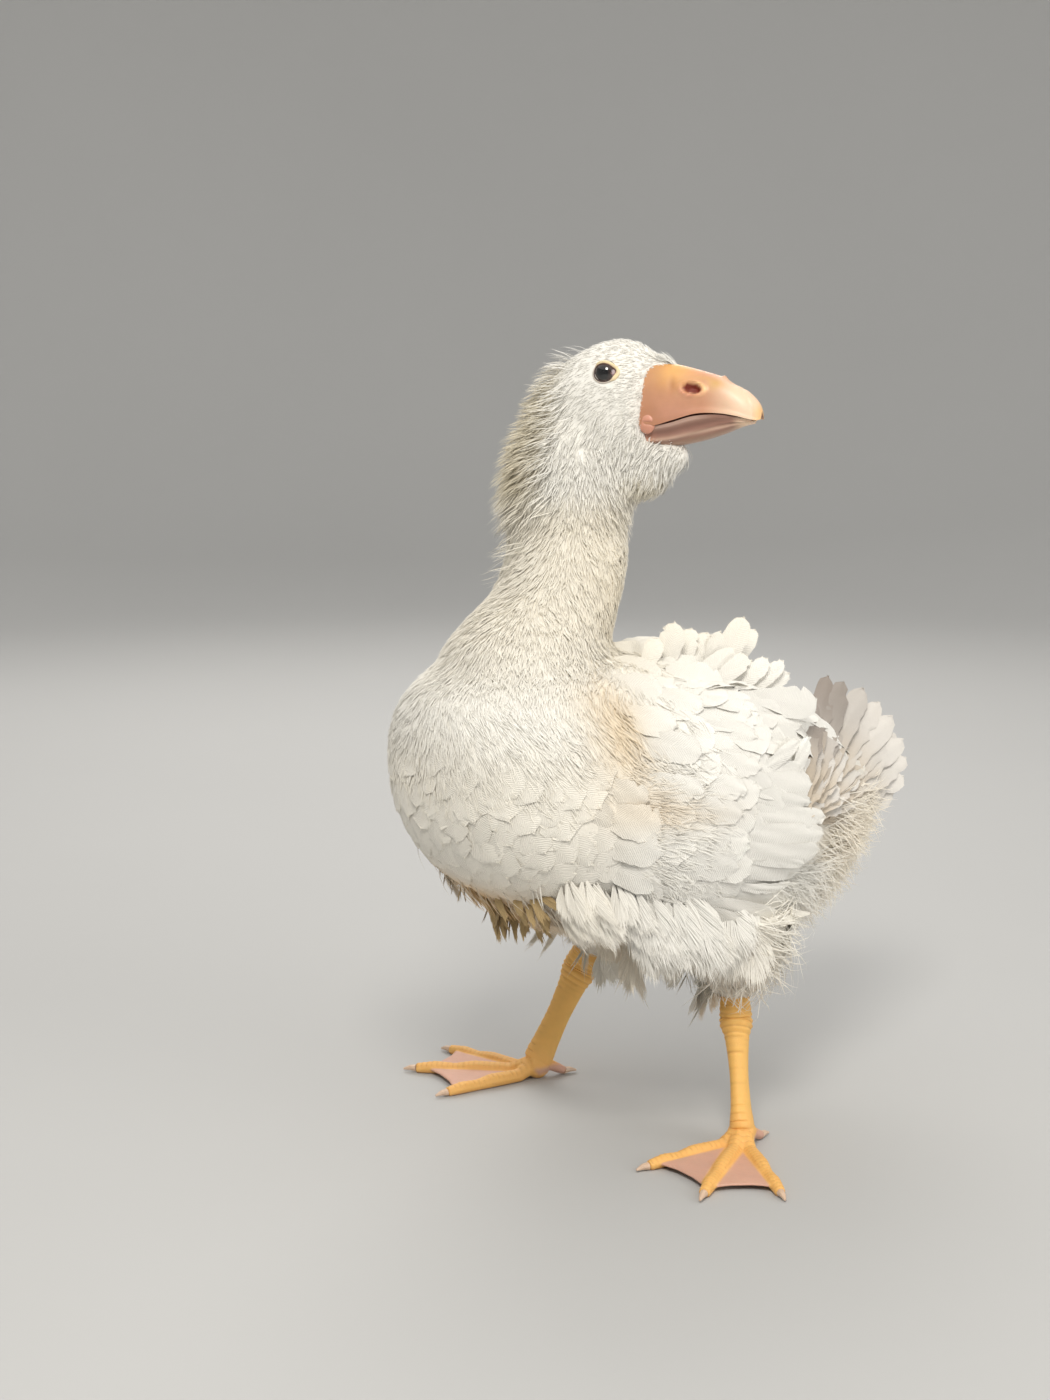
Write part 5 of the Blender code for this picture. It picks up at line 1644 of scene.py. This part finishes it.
# Rows of points along each such feather
DRAWN_ROWS = 14


def seen(skin, u, v):
    """The point of the skin seen at a pixel of the photograph's frame, or the nearest to that sight line."""
    start, ray = eye_point(), pixel_ray(u, v)
    found = skin.tree.ray_cast(start, ray)
    if found[0] is None:
        places = [start + ray * reach for reach in SEARCH]
        found = skin.tree.find_nearest(min(places, key=lambda place: skin.tree.find_nearest(place)[3]))
    return np.array(found[0]), np.array(found[1])


def aimed_spine(skin, root_pixel, tip_pixel, order, steep, lean, draw):
    """Root, shaft and upward direction of a feather whose root and tip are seen at two pixels."""
    start, forward = np.array(eye_point()), np.array(view_axes()[1])
    root, normal = seen(skin, *root_pixel)
    depth = (root - start) @ forward + steep * (tip_pixel[0] - root_pixel[0])
    ray = np.array(pixel_ray(*tip_pixel))
    behind = skin.tree.ray_cast(Vector(start), Vector(ray))[0]
    if behind is not None:
        depth = min(depth, (np.array(behind) - start) @ forward)
    depth += lean - BEFORE_SKIN - LAYER * order
    line = start + ray * (depth / (ray @ forward)) - root
    up = normal * 0.6 - forward * 0.5
    up = unit(up - line * (up @ line) / (line @ line))
    t = row_shares(DRAWN_ROWS)[:, None]
    bow = up * (0.10 + draw.normal(0, 0.02)) * np.linalg.norm(line) * 4 * t * (1 - t)
    side = np.cross(up, unit(line)) * draw.normal(0, 0.03) * np.linalg.norm(line) * 4 * t * (1 - t)
    return root, root - normal * 0.001 + line * t + bow * 0.5 + side, np.repeat(up[None], DRAWN_ROWS, 0)


def aimed_vanes(name, skin, shader, rows, seed, steep=DEPTH_PER_PIXEL, lean=0.0, both=True, **details):
    """Feathers whose root and tip lie at given pixels, for one or both sides of the goose."""
    draw = np.random.default_rng(seed)
    made = [aimed_spine(skin, row[0], row[1], row[3], steep, lean, draw) for row in rows]
    roots, spines, ups = (np.array([facts[k] for facts in made]) for k in range(3))
    lengths = np.linalg.norm(spines[:, -1] - spines[:, 0], axis=1)
    halves = np.array([row[2] for row in rows]) / PIXELS_PER_METRE
    rolls = np.array([row[4] for row in rows])
    vane_mesh(f"{name}_left", shader, spines, ups, lengths, halves, roots, seed, rolls=rolls, **details)
    if both:
        low = np.array([row[0][1] for row in rows]) > LEFT_ONLY
        vane_mesh(f"{name}_right", shader, spines[low] * MIRROR, ups[low] * MIRROR, lengths[low], halves[low],
                  roots[low] * MIRROR, seed + 1, rolls=-rolls[low], **details)


def on_thigh(points):
    """Where loose down takes the place of broad feathers, on and behind the thighs."""
    _, y, z = points.T
    thigh = step(y, -0.005, 0.015) * step(z, 0.138, 0.126)
    hip = step(y, 0.015, 0.040) * step(z, 0.158, 0.146)
    return np.maximum(thigh, hip)


def downy(points):
    """Where the loose down of rear and thighs is."""
    rear = step(points[:, 1], 0.065, 0.090) * step(points[:, 2], 0.192, 0.168)
    return np.maximum(rear, on_thigh(points))


def wing_share(points):
    """Where the left wing's smooth coverts are."""
    x, y, z = points.T
    low = step(z, 0.118, 0.130) * (1 - on_thigh(points))
    front = step(y, -0.085, -0.066)
    return low * front * step(y, 0.115, 0.095) * step(x, 0.030, 0.042) * (z < 0.31)


# Shapes of vanes: (breadth at the root, where widest, roundness of the end)
FLIGHT_SHAPE, COVERT_SHAPE, CREST_SHAPE = (0.62, 0.62, 2.6), (0.60, 0.60, 2.5), (0.55, 0.64, 2.4)
WING_SHAPE, TAIL_SHAPE, BODY_SHAPE = (0.62, 0.60, 2.4), (0.50, 0.74, 2.6), (0.65, 0.60, 2.4)
# Distance between the roots of the small feathers of wings and body
WING_SPACING, BODY_SPACING = 0.0100, 0.0086


def make_wings(skin, shader):
    """Flight feathers and coverts of both wings, mirrored, and the standing curled feathers of the back."""
    draw = np.random.default_rng(30)
    roots, normals = skin.spaced(WING_SPACING, lambda points: 1.0 * (wing_share(points) > 0.5), draw)
    count = len(roots)
    _, y, z = roots.T
    headings = np.stack([np.zeros(count), np.ones(count), -0.12 - 0.5 * step(z, 0.20, 0.13)], 1)
    headings = unit(headings + draw.normal(0, 0.10, (count, 3)))
    back = step(y, -0.06, 0.06)
    lengths = (0.025 + 0.008 * back) * draw.uniform(0.9, 1.1, count)
    halves = (0.0112 + 0.0010 * back) * draw.uniform(0.9, 1.1, count)
    lifts = (0.0008 + 0.0005 * back) * draw.uniform(0.7, 1.4, count)
    for side, mirror in (("left", False), ("right", True)):
        laid_vanes(f"wing_{side}_feathers", skin, shader, roots, normals, headings, lengths, halves, lifts,
                   35 + mirror, 10, mirror, shape=WING_SHAPE, cup=0.03, fringe=0.0006)
    aimed_vanes("flight", skin, shader, FLIGHT, 31, shape=FLIGHT_SHAPE, cup=0.06, splits=0.5)
    aimed_vanes("coverts", skin, shader, COVERTS, 33, steep=0.00062, shape=COVERT_SHAPE, cup=0.05,
                fringe=0.0005)
    aimed_vanes("crest", skin, shader, CREST, 36, steep=0.0004, lean=0.006, both=False, shape=CREST_SHAPE,
                cup=0.08)


def tail_axes():
    """The tail fan's middle direction, the way to its right edge and its upper side's normal."""
    back = Vector((0, math.cos(TAIL_RAISED), math.sin(TAIL_RAISED)))
    across = Vector((-math.cos(TAIL_ROLLED), 0, math.sin(TAIL_ROLLED)))
    up = back.cross(across).normalized()
    return np.array(back), np.array(up.cross(back)), np.array(up)


# Tail feathers where the photograph shows them: (u, v) of the tip, half width, how far up the fan's layers,
# share of grey
TAIL_FEATHERS = (
    ((812, 706), 8, 0.0, 0.9), ((828, 676), 8.5, 0.3, 1.0), ((843, 682), 8.5, 0.0, 0.9),
    ((853, 696), 7.5, 0.6, 0.7), ((863, 688), 9, 0.9, 0.45), ((879, 702), 9, 0.6, 0.25),
    ((892, 716), 9.5, 0.9, 0.15), ((894, 734), 8, 0.2, 0.15), ((903, 740), 9, 0.6, 0.1),
    ((906, 758), 9.5, 0.9, 0.1), ((903, 776), 9.5, 0.6, 0.05), ((893, 792), 10, 0.3, 0.05),
    ((876, 801), 10, 0.0, 0.1), ((858, 808), 9, 0.2, 0.2), ((848, 715), 9.5, 2.4, 0.25),
    ((869, 722), 9, 2.1, 0.1), ((882, 742), 9.5, 2.4, 0.05), ((884, 764), 9.5, 2.1, 0.1),
    ((875, 783), 9.5, 2.4, 0.0), ((855, 792), 9.5, 2.1, 0.1), ((832, 722), 8, 2.0, 0.5),
    ((838, 800), 9, 2.2, 0.2), ((845, 742), 9, 4.0, 0.1), ((860, 756), 9, 3.7, 0.1),
    ((856, 774), 9, 4.0, 0.1), ((835, 782), 9, 3.8, 0.15), ((828, 750), 9, 3.8, 0.2),
    ((816, 738), 8, 3.0, 0.45), ((820, 768), 8, 4.6, 0.25), ((838, 764), 8.5, 5.0, 0.1),
    ((818, 792), 8.5, 4.6, 0.1), ((846, 786), 8.5, 5.0, 0.05), ((836, 728), 7.5, 3.2, 0.7),
    ((814, 722), 7.5, 2.4, 0.9), ((852, 706), 7, 1.6, 0.55), ((822, 692), 7, 0.8, 1.0),
)
# Pixel that the tail's feathers fan out from, pixels to a metre at its depth, and its colours; its pale white
# is darker than the body's, as painted shade
TAIL_CENTRE, TAIL_PIXELS_PER_METRE = np.array((800, 822)), 1300.0
TAIL_GREY, TAIL_PALE_SHADED = np.array((0.27, 0.225, 0.19)), np.array((0.80, 0.765, 0.71))
TAIL_CREAM = np.array((0.72, 0.61, 0.47))


def tail_spine(skin, tip_pixel, layer):
    """A tail feather's shaft, from near the fan's centre to its tip's pixel, kept before the skin."""
    start, up = np.array(eye_point()), tail_axes()[2]
    shares = 0.30 + 0.70 * row_shares(DRAWN_ROWS)[:, None]
    spine = []
    for u, v in TAIL_CENTRE + (np.array(tip_pixel) - TAIL_CENTRE) * shares:
        ray = np.array(pixel_ray(u, v))
        level_point = np.array(TAIL_AT) + up * (0.0011 * layer + 0.002)
        spine.append(start + ray * (((level_point - start) @ up) / (ray @ up)))
    spine = np.array(spine)
    reach = np.linalg.norm(spine - start, axis=1)
    for k, point in enumerate(spine):
        found = skin.tree.ray_cast(Vector(start), Vector(point - start))[0]
        if found is not None:
            reach[k] = min(reach[k], np.linalg.norm(np.array(found) - start) - 0.002 - 0.0007 * layer)
    for _ in range(12):
        reach[1:-1] = np.minimum(reach[1:-1], (reach[:-2] + reach[2:]) / 2)
    return start + unit(spine - start) * reach[:, None]


def make_tail(skin, shader):
    """The tail's fan and its coverts, each feather from the fan's centre to its tip's pixel."""
    spines = np.array([tail_spine(skin, tip_pixel, layer) for tip_pixel, _, layer, _ in TAIL_FEATHERS])
    halves = np.array([half for _, half, _, _ in TAIL_FEATHERS]) / TAIL_PIXELS_PER_METRE
    greys = np.array([grey for _, _, _, grey in TAIL_FEATHERS])
    facing = unit(tail_axes()[2] * 0.7 - np.array(view_axes()[1]) * 0.5)
    roots = spines[:, 0]

    def tints(level):
        """Grey tips on some feathers, cream towards the roots, on a pale white darkened as painted shade."""
        base = step(level, 0.80, 0.20)[None, :, None]
        white = TAIL_PALE_SHADED + (TAIL_CREAM - TAIL_PALE_SHADED) * base * 0.9
        share = greys[:, None, None] * (1 - 0.55 * base)
        return white + (TAIL_GREY - white) * np.clip(share, 0, 1)

    vane_mesh("tail_fan", shader, spines, np.tile(facing, spines.shape[:2] + (1,)),
              np.linalg.norm(spines[:, -1] - roots, axis=1), halves, roots, 42, shape=TAIL_SHAPE, cup=0.12,
              tints=tints, fringe=0.0009)


def droop(points, normals):
    """Mostly straight down, for the longer feathers of the cheeks."""
    way = lie(points, normals) * 0.45 + np.array((0.0, 0.0, -1.0))
    return unit(way - normals * (way * normals).sum(1)[:, None])


def face(points):
    """Where the face's finest feathers are, with the eyes left bare."""
    f, _, u = head_place(points)
    eye = ((f - 0.0018) / 0.0088) ** 2 + (u / 0.0064) ** 2
    return regions(points)[0] * (1 + 0.8 * step(f, -0.01, 0.012)) * (eye > 1)


def face_length(points):
    """Their length, shortest at the bill and longest at the throat."""
    f, _, u = head_place(points)
    return 0.0040 + 0.0040 * step(u, -0.015, -0.055) * step(f, 0.016, 0.0) + 0.0010 * step(f, 0.0, -0.03)


def nape(points):
    """Where the loose tufts of the nape are."""
    f, _, _ = head_place(points)
    behind = 0.5 * step(points[:, 2], 0.30, 0.36) * step(f, -0.03, -0.045)
    return regions(points)[0] * step(f, -0.014, -0.034) + behind


def cheek(points):
    """Where the longer feathers of the cheeks are."""
    f, _, u = head_place(points)
    return step(u, -0.018, -0.045) * step(points[:, 2], 0.335, 0.350) * step(f, 0.045, 0.030)


def make_head_feathers(skin, shader):
    """Short fine feathers of the face and cheeks, and the loose tufts of crown and nape."""
    strands("face_feathers", skin, shader, 10600, face, face_length, 0.00045, 0.0011, 11, (0.0035, 0.25),
            shade=0.03, curl=0.12, root_shade_and_grey=0.78)
    strands("cheek_feathers", skin, shader, 4000, cheek, 0.0082, 0.0006, 0.0038, 17, (0.0040, 0.60), droop,
            wander=0.22, shade=0.03, curl=0.12, root_shade_and_grey=0.74)
    strands("nape_feathers", skin, shader, 3200, nape, 0.0100, 0.0005, 0.0095, 13, (0.0045, 0.65),
            wander=0.35, root_shade_and_grey=0.80)


def neck_down(points):
    """Where the silky strands of neck and upper breast are."""
    _, y, z = points.T
    head = regions(points)[0]
    return (1 - head) * step(z, 0.195, 0.245) * step(y, 0.01, -0.04) * (1 - on_wing(points))


def upper_neck(points):
    """The neck's share of them."""
    return neck_down(points) * step(points[:, 2], 0.255, 0.28)


def neck_base(points):
    """The upper breast's share of them."""
    return neck_down(points) * step(points[:, 2], 0.285, 0.26)


def wing_front(points):
    """The front of the wings, where fine down covers the coverts' roots."""
    return on_wing(points) * step(points[:, 1], -0.015, -0.06)


def make_neck_feathers(skin, shader):
    """The silky strands of the neck, the upper breast and the front of the wings."""
    strands("neck_feathers", skin, shader, 10000, upper_neck, 0.0095, 0.0008, 0.0020, 12, (0.0065, 0.5),
            shade=0.03)
    strands("neck_base_feathers", skin, shader, 8500, neck_base, 0.0120, 0.0008, 0.0015, 14, (0.008, 0.45),
            shade=0.03, root_shade_and_grey=0.90)
    strands("wing_down", skin, shader, 2600, wing_front, 0.013, 0.0006, 0.0030, 18, (0.006, 0.5),
            wander=0.35, shade=0.04, root_shade_and_grey=0.90)


# Loose feathers low on the body, placed by pixels: name, ranges of the roots' u and v, the way from root to
# tip, how far the tips stand out, count, half width, curl, bend, where along the shaft the side barbs end,
# and a colour, or None for the plumage's own
LOOSE = (
    ("flank", (562, 634), (876, 898), (11, 52), 0.000, 34, 0.0054, 0.002, 0.4, 0.55, None),
    ("thigh_front", (632, 704), (894, 918), (16, 64), 0.002, 54, 0.0088, 0.000, 0.15, 0.55, None),
    ("thigh", (696, 756), (898, 928), (2, 58), 0.002, 52, 0.0092, 0.000, 0.0, 0.55, None),
    ("belly", (600, 700), (925, 950), (8, 36), 0.010, 36, 0.0062, 0.002, 0.2, 0.55, None),
    ("long_curl", (634, 646), (930, 940), (-24, 60), 0.016, 6, 0.0032, 0.004, 0.45, 0.55, None),
    ("stained", (482, 546), (892, 916), (8, 26), 0.002, 22, 0.0024, 0.002, 0.2, 0.20, (0.47, 0.34, 0.17)),
)


def hang(points, normals):
    """Downwards and a little back, for the loose feathers."""
    way = np.tile(np.array([0.0, 0.45, -1.0]), (len(points), 1)) + normals * 0.2
    way = way - normals * (way * normals).sum(1)[:, None] * 0.9
    return unit(way)


def make_loose_fans(skin, shader, number, facts):
    """One group of loose feathers on the near side, and its mirror image."""
    name, across, down, reach, out, count, half_width, curl, bend, widest, tint = facts
    start, forward = np.array(eye_point()), np.array(view_axes()[1])
    draw = np.random.default_rng(70 + number)
    roots, normals, tips = [], [], []
    for _ in range(count):
        u, v = draw.uniform(*across), draw.uniform(*down)
        root, normal = seen(skin, u, v)
        tip_u, tip_v = u + reach[0] + draw.normal(0, 7), v + reach[1] * draw.uniform(0.75, 1.15)
        ray = np.array(pixel_ray(tip_u, tip_v))
        depth = (root - start) @ forward - out * draw.uniform(0.2, 1.2)
        roots.append(root)
        normals.append(normal)
        tips.append(start + ray * (depth / (ray @ forward)))
    roots, normals, tips = np.array(roots), np.array(normals), np.array(tips)
    headings, lengths = unit(tips - roots), np.linalg.norm(tips - roots, axis=1)
    outward = unit(normals * (1, 1, 0.2)) - forward * 0.8
    ups = unit(outward - headings * (outward * headings).sum(1)[:, None])
    halves = half_width * draw.uniform(0.75, 1.2, count)
    curls, rolls = curl * draw.uniform(-0.8, 1.0, count), draw.normal(0, 0.22, count)
    bends = bend + draw.normal(0, 0.25, count)
    for side, flip in (("left", np.ones(3)), ("right", MIRROR)):
        fans(f"{name}_feathers_{side}", shader, roots * flip, ups * flip, headings * flip, lengths, halves,
             curls, bends * flip[0], rolls * flip[0], widest, tint, 80 + number)


def silk(points):
    """The front of the thighs, where the down is long and silky."""
    x, y, z = points.T
    across = step(y, -0.040, -0.020) * step(y, 0.060, 0.040) * step(np.abs(x), 0.018, 0.032)
    return across * step(z, 0.144, 0.132) * step(z, 0.066, 0.076)


def low_down(points):
    """Where the fluffy down of rear and thighs is."""
    return downy(points) * step(points[:, 2], 0.082, 0.092) * (1 - 0.9 * silk(points))


def ankle(points):
    """The thighs' lower ends."""
    return step(points[:, 2], 0.0765, 0.0775) * step(points[:, 2], 0.096, 0.086)


def stained(points):
    """The stained patch under the breast."""
    return np.exp(-(((points - (-0.005, -0.088, 0.128)) / (0.050, 0.030, 0.018)) ** 2).sum(1))


def make_loose_feathers(skin, shader):
    """Silky feathers of flanks, thighs and belly, the down of the rear and the breast's stained tufts."""
    for number, facts in enumerate(LOOSE):
        make_loose_fans(skin, shader, number, facts)
    strands("thigh_silk", skin, shader, 3000, silk, 0.025, 0.0006, 0.0030, 19, (0.010, 0.45), hang,
            wander=0.10, shade=0.03, curl=0.15, root_shade_and_grey=0.90)
    strands("rear_down", skin, shader, 12000, low_down, 0.024, 0.0006, 0.0105, 15, (0.006, 0.42),
            wander=0.45, shade=0.04, curl=0.5, root_shade_and_grey=0.98)
    strands("ankle_down", skin, shader, 1100, ankle, 0.0072, 0.0007, 0.0016, 21, (0.003, 0.3), hang,
            wander=0.12, shade=0.04, root_shade_and_grey=0.95)
    strands("rear_wisps", skin, shader, 3300, low_down, 0.027, 0.0005, 0.0170, 20, (0.009, 0.55),
            wander=0.6, shade=0.03, curl=0.9, root_shade_and_grey=1.0)
    strands("breast_tufts", skin, shader, 1800, stained, 0.019, 0.0009, 0.0075, 16, (0.008, 0.75), hang,
            wander=0.3, shade=0.08, root_shade_and_grey=0.7)


def on_wing(points):
    """1 on the smooth coverts of either wing."""
    x, y, z = points.T
    both = np.stack([np.abs(x), y, z], 1)
    return step(wing_share(both), 0.5, 0.8)


def body_share(points):
    """Where the body's soft contour feathers are."""
    head, neck = regions(points)
    body = (1 - head - neck) * step(points[:, 2], 0.080, 0.095)
    return body * (1 - on_wing(points)) * (1 - on_thigh(points))


def make_body_feathers(skin, shader):
    """The contour feathers of breast, flanks, belly and back, broad and soft at the edge."""
    draw = np.random.default_rng(20)
    roots, normals = skin.spaced(BODY_SPACING, lambda points: np.clip(body_share(points), 0, 1), draw)
    count = len(roots)
    headings = lie(roots, normals)
    sideways = np.cross(normals, headings)
    headings = unit(headings + sideways * draw.normal(0, 0.14, count)[:, None])
    lifts = draw.uniform(0.0007, 0.0015, count)
    lengths = draw.uniform(0.019, 0.025, count)
    halves = draw.uniform(0.0088, 0.0108, count)
    front = roots[:, 1] < np.median(roots[:, 1])
    for name, part, seed in (("breast_feathers", front, 51), ("rear_feathers", ~front, 52)):
        laid_vanes(name, skin, shader, roots[part], normals[part], headings[part], lengths[part],
                   halves[part], lifts[part], seed, 9, shape=BODY_SHAPE, cup=0.10, fringe=0.0007)


# The nodes whose forms the skin takes over
UNDER_SKIN = ("head", "neck", "torso", "tail", "wing_left", "wing_right", "thigh_left", "thigh_right")


def main():
    """Makes the camera, the studio, and every piece of the goose."""
    make_camera()
    make_studio()
    down = plumage("plumage_down", 0.85, False)
    feather = plumage("plumage_vane", 0.7, True)
    skin_object = make_skin()
    skin = Surface(skin_object)
    dress(skin_object, markings(points_of(skin_object)), down, UNDER_SKIN)
    bare = horn("bill_skin", 0.42, 220.0, 0.06, 1400.0, 0.00006, 0.15)
    leg_skin = horn("leg_skin", 0.5, 160.0, 0.08, 900.0, 0.00015)
    claws = two_tone("claw_horn", 300.0, 3.0, 0.35, srgb(196, 164, 138), srgb(226, 200, 176))
    make_upper_bill(bare)
    make_lower_bill(bare)
    make_mouth(bare)
    make_gape(bare)
    make_eyes(skin, bare)
    make_bill_edging(down)
    for name, facts in LEGS.items():
        make_shank(name, facts, leg_skin)
        make_foot(name, facts, leg_skin, claws)
    make_head_feathers(skin, down)
    make_neck_feathers(skin, down)
    make_body_feathers(skin, feather)
    make_loose_feathers(skin, down)
    make_wings(skin, feather)
    make_tail(skin, feather)


main()
